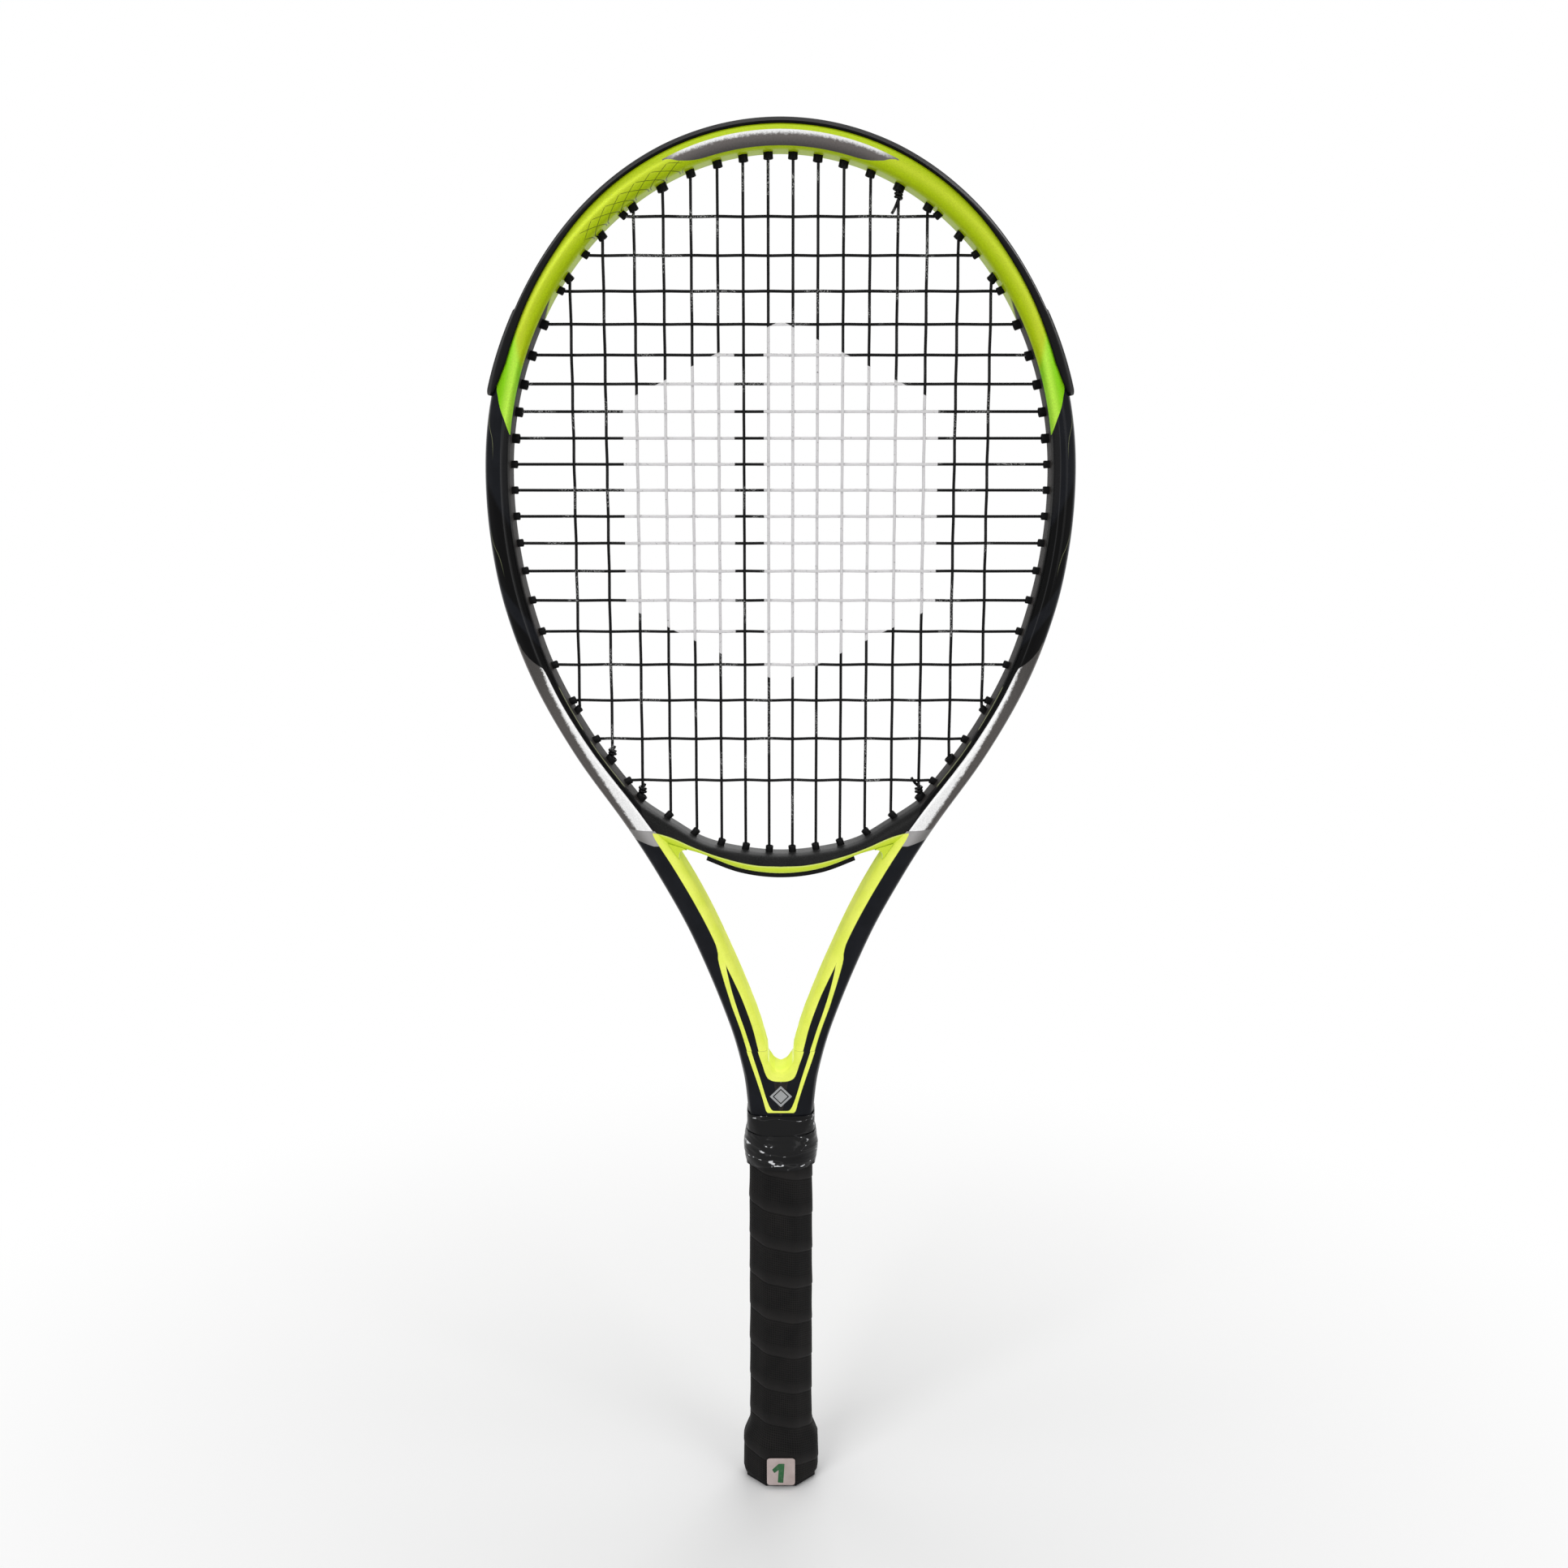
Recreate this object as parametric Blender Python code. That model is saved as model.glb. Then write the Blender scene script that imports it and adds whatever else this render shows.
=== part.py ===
"""A strung frontenis racket, standing upright on its butt end.

+Z runs from the butt to the tip of the head, X across the head, and the string bed is the plane
Y = 0, with the front at -Y. The origin is the middle of the butt's flat end. Sizes are in metres.
"""
import bpy
import bmesh
import numpy as np
from math import cos, pi, sin
from mathutils import Matrix

# Overall sizes. Heights along the racket are shares of its length, so a longer one stays in proportion
LENGTH = 0.690
GAP = 0.0003
GRIP_TOP_Z = 0.2754 * LENGTH

# Hairpin: the one tube that makes the hoop, the two arms and the two legs
HOOP_CENTRE_Z = 0.7638 * LENGTH
HOOP_HALF_WIDTH = 0.1347
RIM_WIDTH_TOP = 0.0120
RIM_WIDTH_SIDE = 0.0118
RIM_WIDTH_SHOULDER = 0.0110
ARM_WIDTH = 0.0145
FORK_WIDTH = 0.0148
SHAFT_WIDTH = 0.0334
LEG_WIDTH = 0.0110
LEG_GAP = 0.0008
RIM_DEPTH = 0.0240
ARM_DEPTH = 0.0255
SHAFT_DEPTH = 0.0235
LEG_DEPTH = 0.0180
LEG_END_Z = 0.008
SHAFT_END_Z = GRIP_TOP_Z + 0.0150
SHAFT_STRAIGHT = 0.0030
CROTCH_Z = GRIP_TOP_Z + 0.0400
CROTCH_RADIUS = 0.0033
FORK_RISE = 0.0279
CORE_HALF_WIDTH = 0.0045
CROTCH_HALF_WIDTH = 0.0066
CORE_INSET = 0.0010
CORE_LAP = 0.0080
LEG_SHOULDER = 0.0020
LEG_STRAIGHT = 0.0060

# String groove on the outside of the rim
GROOVE_WIDTH = 0.0072
GROOVE_DEPTH = 0.0032
SHOULDER_GROOVE_DEPTH = 0.0008
GROOVE_TAPER = 0.0002

# Throat bridge that closes the hoop between the arms
BRIDGE_DROP = 0.2667 * LENGTH
BRIDGE_WIDTH = 0.0092
BRIDGE_DEPTH = 0.0225
BRIDGE_FLAT = 0.20

# String pattern
MAIN_COUNT = 16
CROSS_COUNT = 19
MAIN_PITCH = 0.0861 * HOOP_HALF_WIDTH
MAIN_SIDE_MARGIN = 0.2227 * HOOP_HALF_WIDTH
CROSS_PITCH = 0.01768 * LENGTH
CROSS_ABOVE_CENTRE = 8
CROSS_CENTRE_LIFT = 0.0093 * LENGTH
FIRST_CROSS_DROP = 0.0415 * LENGTH
LAST_CROSS_RISE = 0.0528 * LENGTH
STRING_DIAMETER = 0.0013
WEAVE_RISE = 0.00083
STRING_LEAD = 0.0005
STRING_PITCH_OUTSIDE = 0.0120
BEND_REACH = 0.0003
BEND_CLEAR = 0.0014
STRING_LIFT = 0.00025
LANE = 0.00095
TIE_LANE = 0.0025
HOLE_SHIFT = 0.00043
TIE_SHIFT = 0.0009
KNOT_PITCH = 0.0018
KNOT_RADIUS = 0.0018
KNOT_TAIL = 0.0030
KNOT_RISE = 0.0030
KNOT_TURNS = 1.5
TIE_KNOT_RISE = 0.0026
TIE_KNOT_TURNS = 1.0
GAP_STEP = 0.0005

# Holes: a tube runs through the rim for each string
ROD_SIDES = 6
HOLE_REACH = 0.0040
HOLE_LONGEST = 0.0600
HOLE_LEAN = 0.25
BRIDGE_HOLE_LEAN = 0.5
WIDE_BARREL = 0.0047
WIDE_BORE = 0.0032
SLIM_BARREL = 0.0038
SLIM_BORE = 0.0026
TIE_BARREL = 0.0054
TIE_BORE = 0.0042
TOP_PROTRUSION = 0.0024
SIDE_PROTRUSION = 0.0026
BRIDGE_PROTRUSION = 0.0028
FIRST_WIDE_CROSS = 4
LAST_WIDE_CROSS = 8
BRIDGE_MAINS = 3
SHOULDER_MAINS = 5
STRIP_BASE = 0.0010
STRIP_WIDTH = 0.0066

# Bumper over the head
BUMPER_RISE_TOP = 0.0025
BUMPER_RISE_SIDE = 0.0010
BUMPER_PAD_RISE = 0.0005
BUMPER_PAD_Z = 0.8725 * LENGTH
BUMPER_END_Z = 0.8174 * LENGTH
BUMPER_TONGUE_Z = 0.7840 * LENGTH
BUMPER_FADE = 0.014
BUMPER_WALL = 0.0009
CHANNEL_WIDTH = 0.0052
CHANNEL_DRAFT = 0.0005
BUMPER_ROUND = 0.0012
WING_LEAST = 0.020
WING_MOST = 0.115
TONGUE_LAP = 0.0040
TONGUE_TRIM = 0.0001

# Bridge grommet strip
BRIDGE_STRIP_REACH = 0.2673 * HOOP_HALF_WIDTH
BRIDGE_STRIP_LAP = 0.0010
BRIDGE_RAIL_HEIGHT = 0.0026
RAIL_WIDTH = 0.0012
RAIL_DRAFT = 0.0002

# Handle
PALLET_WIDTH = 0.0292
PALLET_DEPTH = 0.0262
PALLET_CHAMFER = 0.0080
PALLET_TOP_Z = GRIP_TOP_Z - 0.0030
CAP_WIDTH = 0.0362
CAP_DEPTH = 0.0298
CAP_CHAMFER = 0.0098
CAP_FLOOR = 0.0025
CAP_EDGE = 0.0009
CAP_SHOULDER_Z = 0.0240
CAP_TOP_Z = 0.0290
CAP_SKIRT = 0.0006
GRIP_THICKNESS = 0.0015
GRIP_BOTTOM_Z = 0.0022
GRIP_STEP = 0.0012
SEAM_PITCH = 0.0200
SEAM_RISE = 0.0003
TAPE_THICKNESS = 0.0004
TAPE_BOTTOM_Z = GRIP_TOP_Z - 0.0040
TAPE_TOP_Z = SHAFT_END_Z + 0.0025
TAPE_CHAMFER = 0.0042
COLLAR_THICKNESS = 0.0015
COLLAR_LIP = 0.0007
COLLAR_BOTTOM_Z = GRIP_TOP_Z - 0.0105
COLLAR_TOP_Z = GRIP_TOP_Z + 0.0075

# Staples and the size sticker
STAPLE_CROWN = 0.0100
STAPLE_LEG = 0.0045
STAPLE_WIRE = 0.0007
STAPLE_SINK = 0.0005
STAPLE_Z = 0.0180
STICKER_WIDTH = 0.0148
STICKER_HEIGHT = 0.0155
STICKER_THICKNESS = 0.0004
STICKER_Z = 0.0105
STICKER_CORNER = 0.0018


def clear_scene():
    for item in list(bpy.data.objects):
        bpy.data.objects.remove(item, do_unlink=True)


clear_scene()
PARTS = bpy.data.collections.new("frontenis_racket")
CUTTERS = bpy.data.collections.new("cutters")
bpy.context.scene.collection.children.link(PARTS)
bpy.context.scene.collection.children.link(CUTTERS)


def finish(name, colour, roughness, metallic=0.0):
    """Principled material of one piece"""
    material = bpy.data.materials.new(name)
    material.use_nodes = True
    shader = material.node_tree.nodes["Principled BSDF"]
    shader.inputs["Base Color"].default_value = (*colour, 1.0)
    shader.inputs["Roughness"].default_value = roughness
    shader.inputs["Metallic"].default_value = metallic
    material.diffuse_color = (*colour, 1.0)
    return material


def add_part(name, data, material):
    part = bpy.data.objects.new(name, data)
    PARTS.objects.link(part)
    data.materials.clear()
    data.materials.append(material)
    return part


def add_cutter(name, mesh):
    cutter = bpy.data.objects.new(name, mesh)
    CUTTERS.objects.link(cutter)
    cutter.hide_render = True
    cutter.display_type = 'WIRE'
    return cutter


def boolean(part, cutter, operation='DIFFERENCE'):
    step = part.modifiers.new(cutter.name, 'BOOLEAN')
    step.operation = operation
    step.solver = 'EXACT'
    step.object = cutter


def shade(part, angle=0.6):
    part.data.shade_smooth()
    part.data.set_sharp_from_angle(angle=angle)


def smooth_through(points, steps):
    """Points of a smooth curve through the given rows, any number of values to a row"""
    rows = np.array(points, dtype=float)
    knots = np.concatenate([[0.0], np.cumsum(np.linalg.norm(np.diff(rows[:, :2], axis=0), axis=1))])
    slopes = np.empty_like(rows)
    slopes[1:-1] = (rows[2:] - rows[:-2]) / (knots[2:] - knots[:-2])[:, None]
    slopes[0] = (rows[1] - rows[0]) / (knots[1] - knots[0])
    slopes[-1] = (rows[-1] - rows[-2]) / (knots[-1] - knots[-2])
    curve = []
    for i in range(len(rows) - 1):
        span = knots[i + 1] - knots[i]
        for t in np.linspace(0.0, 1.0, steps, endpoint=False):
            start = (1 + 2 * t) * (1 - t) ** 2 * rows[i] + t * (1 - t) ** 2 * span * slopes[i]
            end = t * t * (3 - 2 * t) * rows[i + 1] - t * t * (1 - t) * span * slopes[i + 1]
            curve.append(start + end)
    curve.append(rows[-1])
    return np.array(curve)


class Path:
    """A tube's centreline in the plane Y = 0, with its width, depth and groove at each point.

    u is the distance along it, and outward is the side that faces away from the strings.
    """

    def __init__(self, stations, steps=24):
        rows = smooth_through(stations, steps)
        self.point = rows[:, :2]
        self.width, self.depth, self.groove = rows[:, 2], rows[:, 3], rows[:, 4]
        steps_along = np.linalg.norm(np.diff(self.point, axis=0), axis=1)
        self.u = np.concatenate([[0.0], np.cumsum(steps_along)])
        tangent = np.gradient(self.point, self.u, axis=0)
        tangent /= np.linalg.norm(tangent, axis=1)[:, None]
        self.outward = np.stack([-tangent[:, 1], tangent[:, 0]], axis=1)
        self.length = self.u[-1]

    def look(self, values, u):
        if values.ndim == 1:
            return float(np.interp(u, self.u, values))
        return np.array([np.interp(u, self.u, values[:, 0]), np.interp(u, self.u, values[:, 1])])

    def normal(self, u):
        x, z = self.look(self.outward, u)
        return np.array([x, 0.0, z]) / np.hypot(x, z)

    def place(self, u, out=0.0, y=0.0):
        """World point at u, moved outward by out and along Y by y"""
        x, z = self.look(self.point, u)
        return np.array([x, 0.0, z]) + out * self.normal(u) + np.array([0.0, y, 0.0])

    def bed(self, u):
        """Distance out from the centreline of the surface that a string lies on"""
        return self.look(self.width, u) / 2 - self.look(self.groove, u) + GAP + STRIP_BASE

    def meet(self, start, axis):
        """Where a line from start along axis leaves through the string bed: its u and its point"""
        beds = np.array([self.place(u, self.bed(u)) for u in self.u])
        across = (beds - start) @ np.cross(axis, (0.0, 1.0, 0.0))
        along = (beds - start) @ axis
        for i in range(len(self.u) - 1):
            if across[i] * across[i + 1] <= 0 and HOLE_REACH < along[i] < HOLE_LONGEST:
                share = across[i] / (across[i] - across[i + 1])
                u = self.u[i] + share * (self.u[i + 1] - self.u[i])
                return u, beds[i] + share * (beds[i + 1] - beds[i])
        raise ValueError("a string hole never leaves the frame")


def loft(rings, closed=False):
    """Closed mesh through rings of equal count, with flat ends unless the rings close on themselves"""
    shape = bmesh.new()
    loops = [[shape.verts.new(point) for point in ring] for ring in rings]
    count = len(loops[0])
    pairs = list(zip(loops, loops[1:]))
    if closed:
        pairs.append((loops[-1], loops[0]))
    for low, high in pairs:
        for i in range(count):
            j = (i + 1) % count
            shape.faces.new((low[i], low[j], high[j], high[i]))
    if not closed:
        shape.faces.new(loops[0])
        shape.faces.new(loops[-1])
    bmesh.ops.recalc_face_normals(shape, faces=shape.faces)
    mesh = bpy.data.meshes.new("loft")
    shape.to_mesh(mesh)
    shape.free()
    return mesh


def sweep(path, places, profile):
    """Loft along a path, where profile(u) gives the (out, y) points of its section"""
    return loft([[path.place(u, out, y) for out, y in profile(u)] for u in places])


def rods(rows):
    """One mesh of straight rods, each row (start, end, diameter), all turned alike about Y"""
    shape = bmesh.new()
    for start, end, diameter in rows:
        axis = np.asarray(end) - np.asarray(start)
        length = np.linalg.norm(axis)
        along = axis / length
        side = np.cross(along, (0.0, 1.0, 0.0))
        turn = Matrix((-side, (0.0, 1.0, 0.0), along)).transposed().to_4x4()
        middle = (np.asarray(start) + np.asarray(end)) / 2
        bmesh.ops.create_cone(shape, cap_ends=True, segments=ROD_SIDES, radius1=diameter / 2,
                              radius2=diameter / 2, depth=length,
                              matrix=Matrix.Translation(middle) @ turn)
    bmesh.ops.recalc_face_normals(shape, faces=shape.faces)
    mesh = bpy.data.meshes.new("rods")
    shape.to_mesh(mesh)
    shape.free()
    return mesh


def solid_from(curve):
    """Mesh of a curve with its caps welded on"""
    holder = bpy.data.objects.new("holder", curve)
    CUTTERS.objects.link(holder)
    bpy.context.view_layer.update()
    mesh = bpy.data.meshes.new_from_object(holder.evaluated_get(bpy.context.evaluated_depsgraph_get()))
    bpy.data.objects.remove(holder, do_unlink=True)
    shape = bmesh.new()
    shape.from_mesh(mesh)
    bmesh.ops.remove_doubles(shape, verts=shape.verts, dist=1e-6)
    bmesh.ops.recalc_face_normals(shape, faces=shape.faces)
    shape.to_mesh(mesh)
    shape.free()
    return mesh


def plate(outline, thickness, at=0.0, upright=True):
    """Flat plate of (x, z) points with its middle at y, or of (x, y) points with its middle at z"""
    curve = bpy.data.curves.new("outline", 'CURVE')
    curve.dimensions = '2D'
    curve.fill_mode = 'BOTH'
    curve.extrude = thickness / 2
    spline = curve.splines.new('POLY')
    spline.points.add(len(outline) - 1)
    for point, (x, z) in zip(spline.points, outline):
        point.co = (x, z, 0.0, 1.0)
    spline.use_cyclic_u = True
    mesh = solid_from(curve)
    if upright:
        mesh.transform(Matrix.Translation((0.0, at, 0.0)) @ Matrix.Rotation(pi / 2, 4, 'X'))
    else:
        mesh.transform(Matrix.Translation((0.0, 0.0, at)))
    return mesh


def wire(points, diameter, resolution=0):
    """Round wire through the points, with filled caps"""
    curve = bpy.data.curves.new("wire", 'CURVE')
    curve.dimensions = '3D'
    curve.bevel_depth = diameter / 2
    curve.bevel_resolution = resolution
    curve.use_fill_caps = True
    spline = curve.splines.new('POLY')
    spline.points.add(len(points) - 1)
    for point, (x, y, z) in zip(spline.points, points):
        point.co = (x, y, z, 1.0)
    return curve


# Hairpin and bridge centrelines
def hairpin_stations():
    """Half of the hairpin's centreline, from the tip of the head down the right side"""
    top_z = LENGTH - BUMPER_RISE_TOP - RIM_WIDTH_TOP / 2
    rows = []
    for step in range(9):
        angle = step * pi / 18
        width = RIM_WIDTH_TOP + (RIM_WIDTH_SIDE - RIM_WIDTH_TOP) * sin(angle) ** 2
        rows.append((HOOP_HALF_WIDTH * sin(angle), HOOP_CENTRE_Z + (top_z - HOOP_CENTRE_Z) * cos(angle),
                     width, RIM_DEPTH, GROOVE_DEPTH))
    side, centre, drop = HOOP_HALF_WIDTH, HOOP_CENTRE_Z, BRIDGE_DROP
    arm_width = (RIM_WIDTH_SHOULDER + ARM_WIDTH) / 2
    shoulder = [
        (1.0000, 0.0000, RIM_WIDTH_SIDE, RIM_DEPTH, GROOVE_DEPTH),
        (0.9880, 0.1630, RIM_WIDTH_SIDE, RIM_DEPTH, GROOVE_DEPTH),
        (0.9460, 0.3293, RIM_WIDTH_SIDE, RIM_DEPTH, GROOVE_DEPTH),
        (0.8582, 0.5185, RIM_WIDTH_SHOULDER, RIM_DEPTH, GROOVE_DEPTH),
        (0.7149, 0.7120, RIM_WIDTH_SHOULDER, ARM_DEPTH, SHOULDER_GROOVE_DEPTH),
        (0.5256, 0.9060, arm_width, ARM_DEPTH, SHOULDER_GROOVE_DEPTH),
        (0.4046, 1.0418, ARM_WIDTH, ARM_DEPTH, SHOULDER_GROOVE_DEPTH),
        (0.2806, 1.2147, ARM_WIDTH, ARM_DEPTH, 0.0),
    ]
    rows += [(side * x, centre - drop * z, width, depth, groove) for x, z, width, depth, groove in shoulder]
    shaft_x = (SHAFT_WIDTH + LEG_GAP) / 4
    shaft_leg = (SHAFT_WIDTH - LEG_GAP) / 2
    leg_x = (LEG_WIDTH + LEG_GAP) / 2
    leg_top = PALLET_TOP_Z + LEG_SHOULDER
    rows += [
        (0.584 * SHAFT_WIDTH, CROTCH_Z + FORK_RISE, FORK_WIDTH, (ARM_DEPTH + SHAFT_DEPTH) / 2, 0.0),
        (0.359 * SHAFT_WIDTH, CROTCH_Z, FORK_WIDTH, SHAFT_DEPTH, 0.0),
        (shaft_x, SHAFT_END_Z + SHAFT_STRAIGHT, shaft_leg, SHAFT_DEPTH, 0.0),
        (shaft_x, SHAFT_END_Z, shaft_leg, SHAFT_DEPTH, 0.0),
        (leg_x, leg_top, LEG_WIDTH, LEG_DEPTH, 0.0),
        (leg_x, leg_top - LEG_STRAIGHT, LEG_WIDTH, LEG_DEPTH, 0.0),
        (leg_x, LEG_END_Z, LEG_WIDTH, LEG_DEPTH, 0.0),
    ]
    return rows


def hairpin_path():
    right = hairpin_stations()
    left = [(-x, z, width, depth, groove) for x, z, width, depth, groove in right[1:]]
    return Path(left[::-1] + right)


def bridge_path():
    """Centreline of the bridge from right to left, its ends lying along the arms"""
    middle_z = HOOP_CENTRE_Z - BRIDGE_DROP - BRIDGE_WIDTH / 2
    half = [
        (0.5790, 0.1875, 0.65 * BRIDGE_WIDTH),
        (0.5122, 0.1370, 0.95 * BRIDGE_WIDTH),
        (0.4157, 0.0870, 1.08 * BRIDGE_WIDTH),
        (0.2858, 0.0435, 0.61 * BRIDGE_WIDTH),
        (0.1411, 0.0109, 0.91 * BRIDGE_WIDTH),
    ]
    right = [(HOOP_HALF_WIDTH * x, middle_z + BRIDGE_DROP * rise, width, BRIDGE_DEPTH, 0.0)
             for x, rise, width in half]
    left = [(-x, z, width, depth, groove) for x, z, width, depth, groove in right[::-1]]
    return Path(right + [(0.0, middle_z, BRIDGE_WIDTH, BRIDGE_DEPTH, 0.0)] + left)


RIM = hairpin_path()
BRIDGE = bridge_path()
TOP_U = RIM.length / 2


def rim_u(z):
    """Distance along the right half of the hairpin where its centreline is at height z"""
    right = RIM.u >= TOP_U
    return float(np.interp(-z, -RIM.point[right, 1], RIM.u[right]))


def mirrored(places):
    """The same places on the left half, then these on the right half"""
    return [RIM.length - u for u in places[::-1] if u > TOP_U + 1e-9] + list(places)


def rim_places():
    """Where the hairpin has a ring: close round the hoop, farther apart on the arms and legs"""
    hoop_end = rim_u(HOOP_CENTRE_Z - BRIDGE_DROP)
    around = list(np.linspace(TOP_U, hoop_end, 30))
    arm = list(np.linspace(hoop_end, rim_u(SHAFT_END_Z), 11)[1:])
    legs = [rim_u(z) for z in ((PALLET_TOP_Z + SHAFT_END_Z) / 2, PALLET_TOP_Z + LEG_SHOULDER, LEG_END_Z)]
    return mirrored(around + arm + legs)


PLACES = rim_places()


def places_between(low, high):
    """The hairpin's own rings between two places, with both ends added"""
    inner = [u for u in PLACES if low + 0.0015 < u < high - 0.0015]
    return [low] + inner + [high]


# String places: mains widen from the middle, crosses from the widest part of the hoop
def spread(index, pitch, last_index, last_place):
    """Place of one string when the pitch grows evenly from the middle to the last place"""
    growth = (last_place - pitch * last_index) / last_index ** 3
    return pitch * index + growth * index ** 3


def cross_heights():
    middle = HOOP_CENTRE_Z + CROSS_CENTRE_LIFT
    below = CROSS_COUNT - 1 - CROSS_ABOVE_CENTRE
    inner_top = LENGTH - BUMPER_RISE_TOP - RIM_WIDTH_TOP
    reach_up = inner_top - FIRST_CROSS_DROP - middle
    reach_down = middle - (HOOP_CENTRE_Z - BRIDGE_DROP) - LAST_CROSS_RISE
    heights = []
    for index in range(CROSS_COUNT):
        place = CROSS_ABOVE_CENTRE - index
        if place >= 0:
            heights.append(middle + spread(place, CROSS_PITCH, CROSS_ABOVE_CENTRE, reach_up))
        else:
            heights.append(middle - spread(-place, CROSS_PITCH, below, reach_down))
    return heights


MAIN_HALF = MAIN_COUNT // 2
LAST_MAIN_X = HOOP_HALF_WIDTH - RIM_WIDTH_SIDE / 2 - MAIN_SIDE_MARGIN
MAIN_X = [spread(i + 0.5, MAIN_PITCH, MAIN_HALF - 0.5, LAST_MAIN_X) for i in range(MAIN_HALF)]
CROSS_Z = cross_heights()


class Hole:
    """One string hole. The string comes along `inward` and enters the tube's inner end."""

    def __init__(self, path, u, inward, string_at, protrusion, barrel, bore, lean, toward=None):
        self.path, self.u, self.inward = path, u, np.array(inward, dtype=float)
        self.barrel, self.bore = barrel, bore
        target = -self.inward if toward is None else toward
        axis = (1 - lean) * path.normal(u) + lean * target
        self.axis = axis / np.linalg.norm(axis)
        wall = path.place(u, -path.look(path.width, u) / 2)
        self.inner_end = wall - self.axis * protrusion
        along = self.inward @ self.axis
        line = string_at - self.inner_end
        self.entry = string_at - self.inward * (line @ self.axis) / along
        across = np.cross(self.axis, (0.0, 1.0, 0.0))
        turn = self.inward @ across
        slack = bore * cos(pi / ROD_SIDES) / 2 - STRING_DIAMETER / 2 - STRING_LEAD * abs(turn)
        slack = max(slack - (TIE_SHIFT if barrel == TIE_BARREL else 0.0), 0.0)
        wanted = min(slack, protrusion * abs(turn / along))
        self.miss = (self.entry - self.inner_end) @ across - np.sign(turn) * wanted

    def leave(self, path):
        """Run the hole out through this tube's string bed"""
        self.path = path
        self.u, self.outer_end = path.meet(self.inner_end, self.axis)

    def lead(self, y=0.0):
        """Point of the string just before it enters the tube"""
        return self.entry + self.inward * STRING_LEAD + np.array([0.0, y, 0.0])

    def mouth(self, y):
        """Point of the string just before it leaves the tube's outer end"""
        return self.outer_end - self.axis * STRING_DIAMETER / 2 + np.array([0.0, y, 0.0])

    def shift(self, lane):
        """Offset of a string inside its hole, on the side of its lane outside"""
        return np.sign(lane) * (TIE_SHIFT if self.barrel == TIE_BARREL else HOLE_SHIFT)


def fit_hole(path, low, high, *options, out_path=None):
    """The hole between two places whose tube takes its string with the least bend"""
    places = np.linspace(low, high, 240)
    misses = [Hole(path, u, *options).miss for u in places]
    for i in range(len(places) - 1):
        if misses[i] * misses[i + 1] <= 0:
            share = misses[i] / (misses[i] - misses[i + 1])
            hole = Hole(path, places[i] + share * (places[i + 1] - places[i]), *options)
            hole.leave(out_path or path)
            return hole
    raise ValueError("a string misses the frame")


def build_holes():
    """Every hole, keyed (kind, side, number): side 1 is +X, numbers count from the middle or the top"""
    side_u, foot_u = rim_u(HOOP_CENTRE_Z), rim_u(HOOP_CENTRE_Z - 0.95 * BRIDGE_DROP)
    slim, wide, tie = (SLIM_BARREL, SLIM_BORE), (WIDE_BARREL, WIDE_BORE), (TIE_BARREL, TIE_BORE)
    up, down = (0.0, 0.0, 1.0), (0.0, 0.0, -1.0)
    holes = {}
    for number, x in enumerate(MAIN_X, start=1):
        at = np.array([x, 0.0, 0.0])
        size = tie if number == SHOULDER_MAINS else slim
        holes["top", 1, number] = fit_hole(RIM, TOP_U, side_u, down, at, TOP_PROTRUSION, *size, HOLE_LEAN)
        if number <= BRIDGE_MAINS:
            holes["bottom", 1, number] = fit_hole(BRIDGE, 0.0, BRIDGE.length / 2, up, at,
                                                  BRIDGE_PROTRUSION, *slim, 0.0)
        elif number <= SHOULDER_MAINS:
            toward = RIM.normal(rim_u(HOOP_CENTRE_Z - BRIDGE_DROP))
            holes["bottom", 1, number] = fit_hole(BRIDGE, 0.0, BRIDGE.length / 2, up, at,
                                                  BRIDGE_PROTRUSION, *slim, BRIDGE_HOLE_LEAN, toward,
                                                  out_path=RIM)
        else:
            size = tie if number < MAIN_HALF else slim
            holes["bottom", 1, number] = fit_hole(RIM, side_u, foot_u, up, at, SIDE_PROTRUSION, *size,
                                                  HOLE_LEAN)
    for number, z in enumerate(CROSS_Z, start=1):
        at = np.array([0.0, 0.0, z])
        size = wide if FIRST_WIDE_CROSS <= number <= LAST_WIDE_CROSS else slim
        holes["cross", 1, number] = fit_hole(RIM, TOP_U, foot_u, (-1.0, 0.0, 0.0), at, SIDE_PROTRUSION,
                                             *size, HOLE_LEAN)
    for (kind, side, number), hole in list(holes.items()):
        twin = Hole.__new__(Hole)
        twin.__dict__.update(hole.__dict__)
        twin.u = hole.path.length - hole.u
        for name in ("axis", "inward", "inner_end", "entry", "outer_end"):
            value = getattr(hole, name) * np.array([-1.0, 1.0, 1.0])
            twin.__dict__[name] = value
        holes[kind, -1, number] = twin
    return holes


HOLES = build_holes()


# Hairpin and bridge
def rim_section(path, u, grow=0.0):
    """Section of a tube: flat inner wall, ridged faces and a grooved outer wall"""
    width = path.look(path.width, u) + 2 * grow
    depth = path.look(path.depth, u) + 2 * grow
    groove = path.look(path.groove, u)
    lip = GROOVE_WIDTH / 2
    side = [
        (-0.50 * width, 0.34 * depth),
        (-0.34 * width, 0.47 * depth),
        (0.00 * width, 0.50 * depth),
        (0.40 * width, 0.38 * depth),
        (0.50 * width, 0.26 * depth),
        (0.50 * width, lip),
        (0.50 * width - groove, lip - GROOVE_TAPER),
    ]
    return [(out, -y) for out, y in side] + [(out, y) for out, y in side[::-1]]


def hole_cutter(name, keys):
    """Rods a little wider than the barrels, long enough to pass right through the frame"""
    rows = []
    for key in keys:
        hole = HOLES[key]
        reach = hole.axis * HOLE_REACH
        rows.append((hole.inner_end - reach, hole.outer_end + reach, hole.barrel + 2 * GAP))
    return add_cutter(name, rods(rows))


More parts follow.
